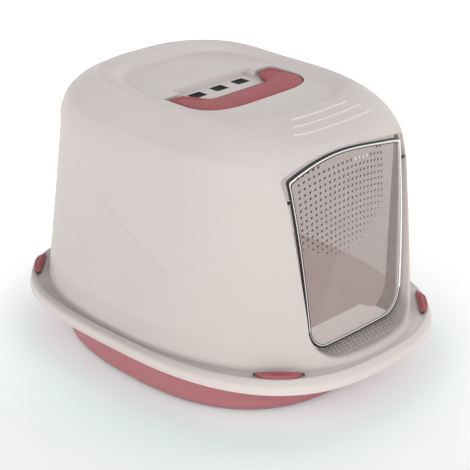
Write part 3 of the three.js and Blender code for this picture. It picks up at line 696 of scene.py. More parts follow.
def front_y(rings, x, z, top=150):
    """Y of the front of the hood at X and Z."""
    heights = rings[:top, 0, 2]
    start = int(np.searchsorted(heights[:40], LEDGE_Z + 0.01))
    heights = heights[start:]
    half = rings.shape[1] // 2
    found = np.empty(len(x))
    for k, (px, pz) in enumerate(zip(x, z)):
        level = float(np.interp(pz, heights, np.arange(len(heights))))
        low = min(int(level), len(heights) - 2)
        ys = [
            np.interp(px, rings[start + n, half:, 0], rings[start + n, half:, 1])
            for n in (low, low + 1)
        ]
        found[k] = ys[0] + (ys[1] - ys[0]) * (level - low)
    return found


def edge_radius(z):
    """Radius of the rounded edge of the doorway recess at a height."""
    return 3.4 - 1.9 * step(z, 100, 150) - 0.5 * step(z, 230, 305)


def tunnel_rear(flat, place):
    """Y of the rear end of the doorway's tunnel, which runs further in along the sill."""
    rear = TUNNEL_Y + TUNNEL_LEAN * (flat[:, 1] - HINGE_Z)
    x, z = doorway_line.T
    sill = (1 - step(np.abs(x), 60, 70)) * (1 - step(z, 86.5, 89.0))
    return rear + (SILL_REAR - rear) * at_place(sill[:, None], place)[:, 0]


def pocket_loop(grow=0.0):
    """Pocket outline in X and Y, counter-clockwise from its rear left corner."""
    wide, front = 94.0 + grow, 64.5 + grow
    corner_w, corner_d = 61.0 + grow, 45.0 + grow
    narrow, rear, arm = 65.0 + grow, 36.0 + grow, 20.0 + grow
    stretches = [
        (-narrow, rear, 14), (-narrow, arm, 14), (-wide, arm, 26), (-wide, corner_d - front, 40),
        (corner_w - wide, -front, 40), (wide - corner_w, -front, 40), (wide, corner_d - front, 26),
        (wide, arm, 14), (narrow, arm, 14), (narrow, rear, 80),
    ]
    points = []
    for k, (x, y, count) in enumerate(stretches):
        next_x, next_y, _ = stretches[(k + 1) % len(stretches)]
        corner = (x + next_x) / 2, (y + next_y) / 2
        if x != next_x and y != next_y:
            corner = math.copysign(wide, x), -front
        shares = np.linspace(0, 1, count, endpoint=False)
        points.append(bend_points((x, y), corner, (next_x, next_y), shares))
    return soft_loop(np.concatenate(points), 1)


pocket_line = pocket_loop()
pocket_out = pocket_loop(1.0) - pocket_line


def rear_share(line):
    """1 on the sloped rear edge of the pocket and 0 elsewhere."""
    return step(line[:, 1], 31.0, 35.6) * (1 - step(np.abs(line[:, 0]), 60.0, 64.8))


def clip_frame(side_x, side_y):
    """Middle of a clip's pin axis, and its directions along the axis and outwards."""
    bearing = math.radians(57.5)
    power = SKIRT["sq_front"] if side_y < 0 else SKIRT["sq_rear"]
    a, b = SKIRT["half"], SKIRT["front"]
    dx, dy = math.cos(bearing), math.sin(bearing)
    reach = ((dx / a) ** power + (dy / b) ** power) ** (-1 / power)
    x, y = reach * dx, reach * dy
    normal = np.array([side_x * x ** (power - 1) / a**power, side_y * y ** (power - 1) / b**power])
    normal /= np.linalg.norm(normal)
    centre = np.array([side_x * x, side_y * y]) - normal * 16.0
    return centre, np.array([normal[1], -normal[0]]), normal


def slot_value(points):
    """Below 0 inside the slots that the clips' necks pass through."""
    value = np.full(points.shape[:-1], 99.0)
    for sides in CLIPS.values():
        centre, along, out = clip_frame(*sides)
        flat = points[..., :2] - centre
        u, v = flat @ along, flat @ out
        value = np.minimum(value, np.maximum(np.abs(u) - 11.3, np.abs(v - 5.6) - 3.0))
    return value


def cut_shell(skin, rings, edge, rim, roof_row):
    """Adds rings and their faces, cut open at the doorway, at the pocket and at the clips' slots.
    Returns the point ids of the rings and the loops of the three kinds of opening."""
    rows = np.arange(len(rings))[:, None]
    y, z = rings[..., 1], rings[..., 2]
    ids = skin.add(rings).reshape(z.shape)
    value = np.full(z.shape, 99.0)
    front = (y < -100) & (z > 78) & (rows < roof_row)
    value[front], _ = distance_to(edge, rings[front][:, (0, 2)])
    panel = np.broadcast_to(rows >= roof_row, z.shape)
    near, _ = distance_to(rim, rings[panel][:, :2])
    value[panel] = np.minimum(value[panel], near)
    low = (z < 79) & (z > 73)
    value[low] = np.minimum(value[low], slot_value(rings[low]))
    loops = clip_grid(skin, ids, value)
    points = skin.points()
    heights = [points[loop].mean(0)[2] for loop in loops]
    door = loops[int(np.argmin([abs(height - 200) for height in heights]))]
    top = loops[int(np.argmax(heights))]
    return ids, door, top, [loop for loop, height in zip(loops, heights) if height < 90]


def doorway_outside(skin, rings, door, edge, radius):
    """The recess's rounded edge and wall, the step round the flap, and the tunnel behind it.
    Returns the last row and the places of its points."""
    _, place = distance_to(edge, skin.points()[door][:, (0, 2)])
    q, out, r, d, door_out = (
        at_place(loop, place) for loop in (recess_line, recess_out, radius, doorway_line, doorway_out)
    )
    r = r[:, 0]
    row = door
    for angle in np.radians(np.linspace(0, 90, 9)[1:]):
        flat = q + out * (r * (1 - math.sin(angle)))[:, None]
        y = front_y(rings, *flat.T) + r * (1 - math.cos(angle))
        row = skin.row(row, upright(flat, y))
    back = np.maximum(RECESS_Y + RECESS_LEAN * (q[:, 1] - HINGE_Z) - 0.8, y + 0.4)
    for share in (0.2, 0.4, 0.6, 0.8, 1.0):
        row = skin.row(row, upright(q, y + (back - y) * share))
    for share, deeper in ((0.02, 0.3), (0.08, 0.6), (0.5, 0.9), (0.92, 1.1), (0.98, 1.4), (1.0, 1.9)):
        row = skin.row(row, upright(q * (1 - share) + d * share, back + deeper))
    rear = tunnel_rear(d, place)
    first = len(skin.faces)
    for share in (0.35, 0.7, 0.94):
        row = skin.row(row, upright(d, back + 1.9 + (rear - back - 1.9) * share))
    for offset, shy in ((0.25, 0.35), (0.9, 0.05), (1.7, 0.05), (2.35, 0.35)):
        row = skin.row(row, upright(d + door_out * offset, rear - shy))
    points = skin.points()
    for k in range(first, len(skin.faces)):
        z = points[list(skin.faces[k])][:, 2]
        # Faces at the tunnel's sill and top take painted light, those at its sides painted shade
        skin.tags[k] = SILL if z.max() < 90 or z.min() > 320 else JAMB
    return row, place / OUTLINE


def pocket_outside(skin, top, rim, sloped):
    """The pocket's side and floor, and the outer sides of the vents. Returns the vents' lower loops."""
    _, place = distance_to(rim, skin.points()[top][:, :2])
    q, out, m = (at_place(loop, place) for loop in (pocket_line, pocket_out, sloped))
    row = top
    for (side, side_z), (slope, slope_z) in zip(POCKET_SIDE[1:], POCKET_REAR[1:]):
        z = PANEL_Z - POCKET_DEPTH * (side_z + (slope_z - side_z) * m[:, 0])
        row = skin.row(row, np.column_stack([q + out * (side + (slope - side) * m), z]))
    vents_high, vents_low = [], []
    for x in VENTS_X:
        loop, wide, flared = (
            rounded_rectangle(VENT_SIZE[0] + more, VENT_SIZE[1] + more, radius, x, VENT_Y)
            for more, radius in ((0.0, 1.2), (0.6, 1.5), (9.0, 3.0))
        )
        vents_high.append(skin.add(at_height(wide, POCKET_Z)))
        row_under = skin.row(vents_high[-1], at_height(wide * 0.3 + loop * 0.7, POCKET_Z - 0.2))
        vents_low.append(skin.row(row_under, at_height(flared, POCKET_Z - WALL)))
    skin.fill(row, vents_high)
    return vents_low


def doorway_inside(skin, door, lining):
    """The lining round the doorway. Returns its last row and the places of its points."""
    start = skin.points()[door]
    _, place = distance_to(lining, start[:, (0, 2)])
    q, out, d, door_out = (
        at_place(loop, place) for loop in (recess_line, recess_out, doorway_line, doorway_out)
    )
    y = start[:, 1]
    back = np.maximum(RECESS_Y + WALL + RECESS_LEAN * (q[:, 1] - HINGE_Z), y + 0.6)
    row = door
    for share in (0.5, 1.0):
        row = skin.row(row, upright(q + out * WALL, y + (back - y) * share))
    for share, deeper in ((0.5, 0.2), (1.0, 0.5)):
        flat = (q + out * WALL) * (1 - share) + (d + door_out * WALL) * share
        row = skin.row(row, upright(flat, back + deeper))
    rear = np.maximum(tunnel_rear(d, place), back + 1.2)
    return skin.row(row, upright(d + door_out * WALL, rear - 0.8)), place / OUTLINE


def bridge_slots(skin, outer, inner):
    """The walls of the clips' slots, between each slot outside and the nearest one inside."""
    points = skin.points()
    for loop in outer:
        centre = points[loop].mean(0)
        pair = min(inner, key=lambda other: np.linalg.norm(points[other].mean(0) - centre))
        turns = [
            np.arctan2(points[k][:, 1] - centre[1], points[k][:, 0] - centre[0]) / (2 * np.pi) % 1.0
            for k in (loop, pair)
        ]
        skin.bridge(loop, turns[0], pair, turns[1])


def hood_skin():
    skin = Skin()
    rings, crest = moulded(set_back(creased(softened(outer_rings(), SHOULDER_Z, 26.0, 60))))
    radius = edge_radius(recess_line[:, 1])[:, None]
    edge = recess_line + recess_out * radius
    sloped = rear_share(pocket_line)[:, None]
    rim = pocket_line + pocket_out * (1.0 + 5.0 * sloped)
    ids, door, top, slots = cut_shell(skin, rings, edge, rim, ROOF_ROW)
    on_crest = set(ids[crest].tolist())
    # Faces on the ribs' crests take a painted highlight
    skin.tags = [CREST if on_crest.issuperset(face) else OUTSIDE for face in skin.faces]
    tunnel_end = doorway_outside(skin, rings, door, edge, radius)
    vents_low = pocket_outside(skin, top, rim, sloped)

    outside_faces = len(skin.faces)
    inner = set_back(creased(inner_rings(), ((1, 1), (2, 2)), WALL), LINING_SUNK, INNER_ROOF_ROW)
    lining = recess_line + recess_out * WALL
    under = pocket_line + pocket_out * WALL
    inner_ids, door, top, inner_slots = cut_shell(skin, inner, lining, under, INNER_ROOF_ROW)
    skin.bridge(*tunnel_end, *doorway_inside(skin, door, lining))
    _, place = distance_to(under, skin.points()[top][:, :2])
    skin.fill(skin.row(top, at_height(at_place(under, place), POCKET_Z - WALL)), vents_low)
    bridge_slots(skin, slots, inner_slots)
    skin.tags[outside_faces:] = [LINING] * (len(skin.faces) - outside_faces)

    row = ids[0]
    for inset, z in SKIRT_EDGE:
        row = skin.row(row, ring(SKIRT, z, inset))
    skin.bridge(row, np.arange(RING) / RING, inner_ids[0], np.arange(INNER_RING) / INNER_RING)
    return skin


def floor_z(x):
    """Height of the doorway recess's floor at X."""
    over = np.maximum(np.abs(x) - (RECESS["bottom_half"] - RECESS["radius"]), 0)
    return RECESS["bottom"] + RECESS["radius"] - np.sqrt(np.maximum(RECESS["radius"] ** 2 - over**2, 0))


def tread_bumps(skin):
    """Rows of small bumps on the floor in front of the flap."""
    centres = []
    for row in range(5):
        for column in range(-10, 11):
            x = (column + 0.5 * (row % 2)) * TREAD_PITCH
            if abs(x) < 64 - row * 1.5:
                centres.append((x, TREAD_FRONT - row * TREAD_PITCH * 0.9, float(floor_z(x))))
    bumps(skin, centres, TREAD_SIZE)


# ---- Tray ----

RIM = dict(half=197.3, front=263.8, rear=263.8, sq_front=2.315, sq_rear=2.685)
MOUTH = dict(RIM, half=190.3, front=256.8, rear=256.8)
TRAY_FOOT = dict(half=180.3, front=206.8, rear=222.8, sq_front=2.5, sq_rear=2.5)
TRAY_RADIUS = 22.0
TRAY_TOP = 74.0
TRAY_WALL = 2.5


def tray_side(thickness, top):
    """Rings of one face of the tray, from the flat of its floor up its side."""
    radius = TRAY_RADIUS - thickness
    rings = [ring(TRAY_FOOT, thickness, TRAY_RADIUS + extra) for extra in (30.0, 2.0)]
    for angle in np.radians(np.linspace(0, 90, 13)):
        z = TRAY_RADIUS - radius * math.cos(angle)
        rings.append(ring(TRAY_FOOT, z, TRAY_RADIUS - radius * math.sin(angle)))
    low, high = rings[-1], ring(MOUTH, top, thickness)
    return rings + [low * (1 - share) + high * share for share in np.linspace(0, 1, 19)[1:]]


def tray_skin():
    skin = Skin()
    under = TRAY_TOP - TRAY_WALL
    outside = tray_side(0.0, under - 1.2)
    rim = [
        ring(oval, z, inset)
        for oval, z, inset in (
            (MOUTH, under - 0.3, -0.3), (MOUTH, under, -1.2), (RIM, under, 1.0), (RIM, under + 0.3, 0.3),
            (RIM, TRAY_TOP - 1.25, 0.0), (RIM, TRAY_TOP - 0.3, 0.3), (RIM, TRAY_TOP, 1.0),
            (MOUTH, TRAY_TOP, 1.2), (MOUTH, TRAY_TOP - 0.35, 2.1),
        )
    ]
    inside = tray_side(TRAY_WALL, TRAY_TOP - 1.2)[::-1]
    ids = [skin.add(points) for points in (*outside, *rim, *inside)]
    last_outside = len(outside) + len(rim) - 1
    skin.grid(ids[:last_outside + 1])
    skin.fill(ids[0])
    skin.grid(ids[last_outside:], tag=1)
    skin.fill(ids[-1], tag=1)
    return skin


# ---- Door flap ----

FLAP_THICK = 2.6
FLAP_MIDDLE = np.array([0.0, 208.0])
BEAD_WIDTH = 3.9
# Reach of the painted shade on the border's outer side, along the sides and top and along the foot
BEAD_SHADE = 2.1
BEAD_SHADE_FOOT = 3.0
BEAD_PROUD = 0.6
# Section of the painted shade line along the border: distance in from the edge and depth
SHADE_LINE = ((4.1, 1.36), (4.9, 1.38), (4.9, 1.2), (4.1, 1.2))
PIN_REACH = (98.5, 103.4)
KNUCKLE_X = 100.0
DOT_PITCH = 7.15
DOT_ROW = 7.7
DOT_SIZE = np.array([1.1, 1.95, 0.34])
DOT_TILT = math.radians(38)


def flap_row(skin, flat, depth):
    """A row of points on the flap at X and Z places, behind its middle by a depth."""
    return skin.add(upright(flat, flap_y(*flat.T) + depth))


def flap_sheet():
    """The clear sheet, with a rounded edge and a fine grid of faces from its edge to its middle."""
    skin = Skin()
    half = FLAP_THICK / 2
    line = flap_edge + flap_inward * 0.6
    shares = np.concatenate([np.linspace(0.03, 0.96, 34), [0.985, 1.0]])
    rims = []
    for side in (-half, half):
        rings = [flap_row(skin, FLAP_MIDDLE + (line - FLAP_MIDDLE) * share, side) for share in shares]
        skin.fan(rings[0], (FLAP_MIDDLE[0], flap_y(*FLAP_MIDDLE) + side, FLAP_MIDDLE[1]))
        skin.grid(rings)
        rims.append(flap_row(skin, flap_edge + flap_inward * 0.15, side * (1 - 0.45 / half)))
        skin.strip(rings[-1], rims[-1])
    skin.grid([rims[0], flap_row(skin, flap_edge, 0.0), rims[1]])
    return skin


def flap_bead():
    """The thick rounded border of the flap, with painted shade on its outer side but for the right, and with
    the pins.
    """
    skin = Skin()
    angles = np.linspace(0, 2 * np.pi, 24, endpoint=False)
    across = BEAD_WIDTH / 2 * (1 - np.cos(angles)) + 0.02
    depths = -(FLAP_THICK / 2 + BEAD_PROUD) * np.sin(angles)
    ids = [flap_row(skin, flap_edge + flap_inward * a, depth) for a, depth in zip(across, depths)]
    shade_reach = np.where(SHARES < 1, BEAD_SHADE_FOOT, BEAD_SHADE)
    right = (SHARES > 1) & (SHARES < 2)
    for k in range(len(ids)):
        skin.strip(ids[k - 1], ids[k])
        # Painted shade: the border's outer side is dark, standing for the shadow gap round the flap
        dark = (max(across[k - 1], across[k]) < shade_reach) & ~right
        skin.tags[-OUTLINE:] = dark.astype(int).tolist()
    for side in (-1, 1):
        ends = [(side * reach, HINGE_Y, HINGE_Z) for reach in PIN_REACH]
        bar(skin, *ends, 2.0, tag=1)
        x = side * KNUCKLE_X
        bar(skin, (x, flap_y(x, HINGE_Z), HINGE_Z), (x, HINGE_Y, HINGE_Z), 2.3)
    return skin


def flap_shade_line():
    """The painted shade line along the inner side of the border: a thin dark strip on the sheet's face."""
    skin = Skin()
    ids = [flap_row(skin, flap_edge + flap_inward * across, -depth) for across, depth in SHADE_LINE]
    skin.grid([*ids, ids[0]])
    return skin


def flap_dots():
    """Small slanted oval dimples over the upper part of the flap, smaller towards its lower right.
    The few near the top that catch the light carry a paler painted highlight."""
    skin = Skin()
    dots = ([], [])
    for column in range(20):
        x = -87.0 + DOT_PITCH * column
        lowest = 203.0 + 0.0058 * (x + 28) ** 2
        highest = 317.5 - 0.0006 * (x + 10) ** 2
        for row in range(17):
            z = 320.5 - 0.0021 * (x + 10) ** 2 - DOT_ROW * row
            if not lowest <= z <= highest:
                continue
            fade = np.clip((x + 60) / 115, 0, 1) * np.clip((300 - z) / 85, 0, 1)
            size = (1 - 0.45 * fade) * (0.65 + 0.35 * step(z - lowest, 0, 16))
            u = np.array([1.0, flap_y(x + 0.5, z) - flap_y(x - 0.5, z), 0.0])
            v = np.array([0.0, flap_y(x, z + 0.5) - flap_y(x, z - 0.5), 1.0])
            wide_way = u * math.cos(DOT_TILT) - v * math.sin(DOT_TILT)
            long_way = v * math.cos(DOT_TILT) + u * math.sin(DOT_TILT)
            painted_glint = z > 306 and -6 < x < 26
            dots[painted_glint].append((
                np.array([x, flap_y(x, z) - FLAP_THICK / 2, z]),
                wide_way / np.linalg.norm(wide_way),
                long_way / np.linalg.norm(long_way),
                DOT_SIZE * (size, size, 1.0),
            ))
    for tag, balls in enumerate(dots):
        domes(skin, balls, tag)
    return skin


# ---- Plates with a crowned face: handle, clips and pad ----

def crowned(skin, loop, spacing, height):
    """Faces over the inside of a flat loop, at a height worked out from the distance to its edge."""
    low, high = loop.min(0), loop.max(0)
    xs, ys = (np.arange(low[k], high[k] + spacing, spacing) for k in (0, 1))
    flat = np.stack(np.meshgrid(xs, ys), 2)
    distance = distance_to(loop, flat.reshape(-1, 2))[0].reshape(flat.shape[:2])
    inside = distance < -0.6 * spacing
    ids = -np.ones(inside.shape, int)
    ids[inside] = skin.add(np.column_stack([flat[inside], height(-distance[inside], flat[inside])]))
    cell = inside[:-1, :-1] & inside[:-1, 1:] & inside[1:, :-1] & inside[1:, 1:]
    framed = np.pad(cell, 1)
    follows = {}
    for j, i in zip(*np.nonzero(cell)):
        corners = [int(ids[place]) for place in ((j, i), (j, i + 1), (j + 1, i + 1), (j + 1, i))]
        skin.face(*corners)
        for n, neighbour in enumerate(((j, i + 1), (j + 1, i + 2), (j + 2, i + 1), (j + 1, i))):
            if not framed[neighbour]:
                follows.setdefault(corners[n], []).append(corners[(n + 1) % 4])
    rim = skin.add(np.column_stack([loop, height(np.zeros(len(loop)), loop)]))
    skin.fill(rim, traced(follows), scale=(1, 1, 0))


def slab_with_edges(skin, loop, low, high, radius, crown, spacing):
    """A plate over a loop, with eased lower edges, round upper ones and a crowned top."""
    inward = inwards(loop)
    edges = [(0.35, low), (0.1, low + radius * 0.1), (0.0, low + radius * 0.35)]
    for angle in np.radians(np.linspace(0, 90, 8)):
        edges.append((1 - math.cos(angle), high - radius + radius * math.sin(angle)))
    ids = [skin.add(at_height(loop + inward * (radius * shift), z)) for shift, z in edges]
    skin.grid(ids)
    skin.fill(ids[0])
    crowned(skin, loop + inward * radius, spacing, lambda depth, places: high + crown(depth, places))


HANDLE_LOW = POCKET_Z + 0.4
HANDLE_TOP = PANEL_Z - 0.6
HANDLE_PIVOT = (13.0, 346.3)


def handle_loop():
    """Outline of the bail in X and Y, counter-clockwise from its rear left corner."""
    wide, front, bar_rear = 91.0, 61.8, -19.5
    corners = [
        (-wide, 13.5, 2.5), (-wide, -front, 50.0), (wide, -front, 50.0), (wide, 13.5, 2.5),
        (68.5, 14.8, 2.5), (60.0, 3.0, 18.0), (53.0, bar_rear, 14.0),
        (-53.0, bar_rear, 14.0), (-60.0, 3.0, 18.0), (-68.5, 14.8, 2.5),
    ]
    return spaced(rounded_path(corners), 1.6)


def handle_crown(depth, places):
    """Rise of the bail's top, which drops along its arms past a slanting line."""
    x, y = np.abs(places[:, 0]), places[:, 1]
    past = ((y + 15.0) * 22.0 - (x - 75.0) * 6.0) / math.hypot(6.0, 22.0)
    drop = step(past, 0.0, 5.0) * step(x, 46, 54) * step(depth, 0.0, 2.0)
    return 1.9 * (1 - np.exp(-depth / 8.0)) - 2.2 * drop


def handle_skin():
    skin = Skin()
    slab_with_edges(skin, handle_loop(), HANDLE_LOW, HANDLE_TOP, 3.0, handle_crown, 1.2)
    for side in (-1, 1):
        bar(skin, (side * 86.0, *HANDLE_PIVOT), (side * 94.0, *HANDLE_PIVOT), 2.4)
    return skin


CLIP_Z = LEDGE_Z + 2.7
CLIP_HALF = 28.0
CLIP_REACH = 10.0
CLIP_LOW = -1.75
CLIP_TOP = 1.3
CLIP_RIDGE = 1.5
CLIP_RIDGE_Y = 3.8
CLIP_BULGE = 1.7
HOOK_TOP = TRAY_TOP - TRAY_WALL - 0.3 - CLIP_Z
HOOK_REACH = 4.9


def bezier(a, b, c, d, count):
    u = np.linspace(0, 1, count, endpoint=False)[:, None]
    a, b, c, d = (np.array(p, float) for p in (a, b, c, d))
    return a * (1 - u) ** 3 + 3 * b * u * (1 - u) ** 2 + 3 * c * u * u * (1 - u) + d * u**3


def clip_outline():
    """Outline of a clip in its own frame, where X runs along its pin and Y outwards."""
    half, reach = CLIP_HALF, CLIP_REACH
    outer = np.concatenate([
        bezier((half, 0), (half - 8, reach), (half / 2, reach), (0, reach), 30),
        bezier((0, reach), (-half / 2, reach), (8 - half, reach), (-half, 0), 30),
    ])
    foot = np.array([[-half, -1.2], [half, -1.2]])
    return spaced(soft_loop(np.concatenate([outer, foot]), 1), 0.8)


def clip_ridge(y):
    """Height of the ridge that runs along a clip's upper face."""
    return CLIP_RIDGE * (1 - np.abs(y - CLIP_RIDGE_Y) / 6.5)


def clip_bulge(x):
    """Rise of a clip's upper face towards its middle, which makes it read as a lens."""
    return CLIP_BULGE * (1 - (x / 29.0) ** 2)


def clip_skin(sides):
    """A clip with its pin, grip bumps and hook, made in its own frame and then set in place."""
    def crown(depth, places):
        return clip_ridge(places[:, 1]) * (1 - np.exp(-depth / 1.2))

    skin = Skin()
    slab_with_edges(skin, clip_outline(), CLIP_LOW, CLIP_TOP, 1.0, crown, 0.9)
    points = skin.points()
    points[:, 2] += clip_bulge(points[:, 0]) * step(points[:, 2], -0.5, 1.0)
    skin = skin.moved(points)
    for half, radius, rounding in ((30.0, 1.3, 0.3), (27.8, 1.75, 0.5)):
        bar(skin, (-half, 0, 0), (half, 0, 0), radius, rounding)
    grips = []
    for x in np.arange(-18.0, 18.1, 3.6):
        y = CLIP_REACH * (1 - (abs(x) / 28.5) ** 2.6) - 2.3
        grips.append((x, y, 1.15 + clip_ridge(y) + clip_bulge(x)))
    bumps(skin, grips, (0.85, 0.85, 0.42))
    for high, near in ((0.0, 2.9), (HOOK_TOP, 0.8)):
        plate = rounded_rectangle(22.0, HOOK_REACH - near, 0.4, 0.0, (near + HOOK_REACH) / 2, 3)
        rows = [skin.add(at_height(plate, z)) for z in (HOOK_TOP - 3.0, high)]
        skin.grid(rows)
        skin.fill(rows[0])
        skin.fill(rows[1])
    centre, along, out = clip_frame(*sides)
    x, y, z = skin.points().T
    return skin.moved(np.column_stack([centre + np.outer(x, along) + np.outer(y, out), z + CLIP_Z]))


def clip_socket_shades():
    """Painted shade of the pin holes in the ledge at both ends of each clip: short dark bars."""
    skin = Skin()
    for sides in CLIPS.values():
        centre, along, out = clip_frame(*sides)
        for side in (-1, 1):
            ends = [(*(centre + along * side * reach + out * 1.2), CLIP_Z - 0.3) for reach in (28.2, 30.2)]
            bar(skin, *ends, 1.5, 0.4)
    return skin


PAD_LOW = 333.3
PAD_TOP = 338.9


def pad_rise(depth, places):
    """Rise of the pad's face from its edge, with a slight quilting."""
    quilting = np.sin(places[:, 0] * 0.45) * np.sin(places[:, 1] * 0.45)
    return 0.18 * quilting - 0.5 * np.exp(-depth / 3.0)


def pad_skin():
    """A fleece pad with soft rounded edges and slightly quilted faces."""
    skin = Skin()
    loop = spaced(rounded_path([(58, -7, 6), (58, 45, 6), (-58, 45, 6), (-58, -7, 6)]), 1.6)
    inward = inwards(loop)
    edges = ((1.6, PAD_LOW + 0.5), (0.5, PAD_LOW + 1.2), (0.0, PAD_LOW + 2.8), (0.5, PAD_TOP - 1.2),
             (1.6, PAD_TOP - 0.5))
    skin.grid([skin.add(at_height(loop + inward * shift, z)) for shift, z in edges])
    for sign, z in ((1, PAD_TOP), (-1, PAD_LOW)):
        crowned(skin, loop + inward * 1.6, 2.0, lambda depth, places: z + sign * pad_rise(depth, places))
    return skin


# ---- Materials ----

class Nodes:
    """A short way to build the node tree of a material or a world."""

    def __init__(self, owner):
        owner.use_nodes = True
        self.owner = owner
        self.tree = owner.node_tree
        self.tree.nodes.clear()

    def add(self, kind, inputs=None, **settings):
        node = self.tree.nodes.new(kind)
        for key, value in settings.items():
            setattr(node, key, value)
        for key, value in (inputs or {}).items():
            if isinstance(value, bpy.types.NodeSocket):
                self.tree.links.new(value, node.inputs[key])
            else:
                node.inputs[key].default_value = value
        return node

    def math(self, operation, *values, clamp=False):
        inputs = dict(enumerate(values))
        return self.add("ShaderNodeMath", inputs, operation=operation, use_clamp=clamp).outputs[0]

    def times(self, a, b):
        return self.math("MULTIPLY", a, b)

    def vector(self, operation, *values):
        node = self.add("ShaderNodeVectorMath", dict(enumerate(values)), operation=operation)
        return node.outputs["Value" if operation in ("DOT_PRODUCT", "LENGTH") else "Vector"]

    def mix(self, factor, a, b):
        return self.add("ShaderNodeMix", {0: factor, 6: a, 7: b}, data_type="RGBA").outputs[2]

    def place(self, kind="Object"):
        return self.add("ShaderNodeTexCoord").outputs[kind]

    def split(self, vector):
        return self.add("ShaderNodeSeparateXYZ", {0: vector}).outputs

    def noise(self, scale, detail=3.0, roughness=0.55):
        inputs = {"Vector": self.place(), "Scale": scale, "Detail": detail, "Roughness": roughness}
        return self.add("ShaderNodeTexNoise", inputs).outputs[0]

    def ramp(self, value, low, high, out_low=0.0, out_high=1.0):
        inputs = {"Value": value, "From Min": low, "From Max": high, "To Min": out_low, "To Max": out_high}
        return self.add("ShaderNodeMapRange", inputs).outputs[0]

    def open_share(self, distance):
        """1 in the open, and less in a crevice or a nook."""
        return self.add("ShaderNodeAmbientOcclusion", {"Distance": distance}, samples=6).outputs["AO"]

    def sees_white(self):
        """1 for the rays that see white surroundings: from the camera, off a gloss or through a glass."""
        path = self.add("ShaderNodeLightPath").outputs
        seen = self.math("ADD", path["Is Camera Ray"], path["Is Glossy Ray"], clamp=True)
        return self.math("ADD", seen, path["Is Transmission Ray"], clamp=True)

    def blended(self, share, first, second):
        return self.add("ShaderNodeMixShader", {0: share, 1: first.outputs[0], 2: second.outputs[0]})

    def principled(self, inputs):
        return self.surface(self.add("ShaderNodeBsdfPrincipled", inputs))

    def surface(self, shader, output="ShaderNodeOutputMaterial"):
        self.add(output, {"Surface": shader.outputs[0]})
        return self.owner


def linear(red, green, blue):
    """A colour given as sRGB bytes, as linear values."""
    values = []
    for channel in (red, green, blue):
        share = channel / 255
        values.append(share / 12.92 if share <= 0.04045 else ((share + 0.055) / 1.055) ** 2.4)
    return (*values, 1.0)


def new_material(name):
    return Nodes(bpy.data.materials.new(name))


# Painted shade of the gutter ledge at Y = -0.25 m and at Y = 0 and of the doorway's floor, and painted light
# on the skirt's lip
LEDGE_SHADE = (1.04, 0.66)
FLOOR_SHADE = 0.70
LIP_LIGHT = 1.18


def ledge_painted_shade(n):
    """Painted shade on what looks up from the ledge and the doorway's floor, deeper in nooks, and painted
    light on the skirt below its rim.
    """
    spot = n.split(n.place())
    height = spot["Z"]
    normal = n.split(n.place("Normal"))["Z"]
    # Painted shade, deeper where the occlusion node finds a nook
    nook = n.ramp(n.open_share(0.03), 0.5, 0.9, 0.84, 1.0)
    ledge = n.times(n.ramp(spot["Y"], -0.25, 0.0, *LEDGE_SHADE), nook)
    on_floor = n.ramp(height, 0.079, 0.085)
    level = n.math("ADD", n.times(ledge, n.math("SUBTRACT", 1.0, on_floor)), n.times(FLOOR_SHADE, on_floor))
    lip = n.times(n.ramp(height, 0.0665, 0.0745), n.ramp(height, 0.0770, 0.0776, 1.0, 0.0))
    looks_up = n.math("MAXIMUM", n.ramp(normal, 0.05, 0.55), lip)
    share = n.times(n.ramp(height, 0.100, 0.112, 1.0, 0.0), looks_up)
    shade = n.math("SUBTRACT", 1.0, n.times(share, n.math("SUBTRACT", 1.0, level)))
    return n.times(shade, n.ramp(height, 0.0665, 0.0715, LIP_LIGHT, 1.0))


def moulded_plastic(name, colour, dust, rough, glow=0.0, gloss=0.5, ledge=False):
    """Injection-moulded plastic: faint flow marks, fine grain, dust and rub marks, painted shade in
    crevices, painted shade on the ledge where asked, and a painted glow where given.
    """
    n = new_material(name)
    clouds = n.noise(9.0, 4.0)
    smear = n.noise(34.0, 5.0, 0.65)
    tint = n.mix(n.ramp(clouds, 0.3, 0.7, 0.0, 0.35), linear(*colour), linear(*dust))
    worn = n.mix(n.ramp(smear, 0.55, 0.8, 0.0, 0.25), tint, linear(*dust))
    # Painted shade: darker in crevices, where the occlusion node finds little open space
    crevice_shade = n.ramp(n.open_share(0.008), 0.2, 0.9, 0.6, 1.0)
    # Painted shade on the ledge and the doorway's floor, and painted light on the skirt's lip
    if ledge:
        crevice_shade = n.times(crevice_shade, ledge_painted_shade(n))
    shaded = n.vector("MULTIPLY", worn, crevice_shade)
    patches = n.ramp(smear, 0.3, 0.75, rough - 0.05, rough + 0.08)
    roughness = n.math("ADD", patches, n.ramp(clouds, 0.3, 0.7, -0.03, 0.03))
    grain = n.add("ShaderNodeBump", {"Height": n.noise(1400.0, 2.0), "Strength": 0.05, "Distance": 0.0004})
    flow = {"Height": clouds, "Strength": 0.02, "Distance": 0.01, "Normal": grain.outputs[0]}
    return n.principled({
        "Base Color": shaded, "Roughness": roughness, "IOR": 1.46,
        "Normal": n.add("ShaderNodeBump", flow).outputs[0],
        "Emission Color": shaded, "Emission Strength": glow, "Specular IOR Level": gloss,
    })


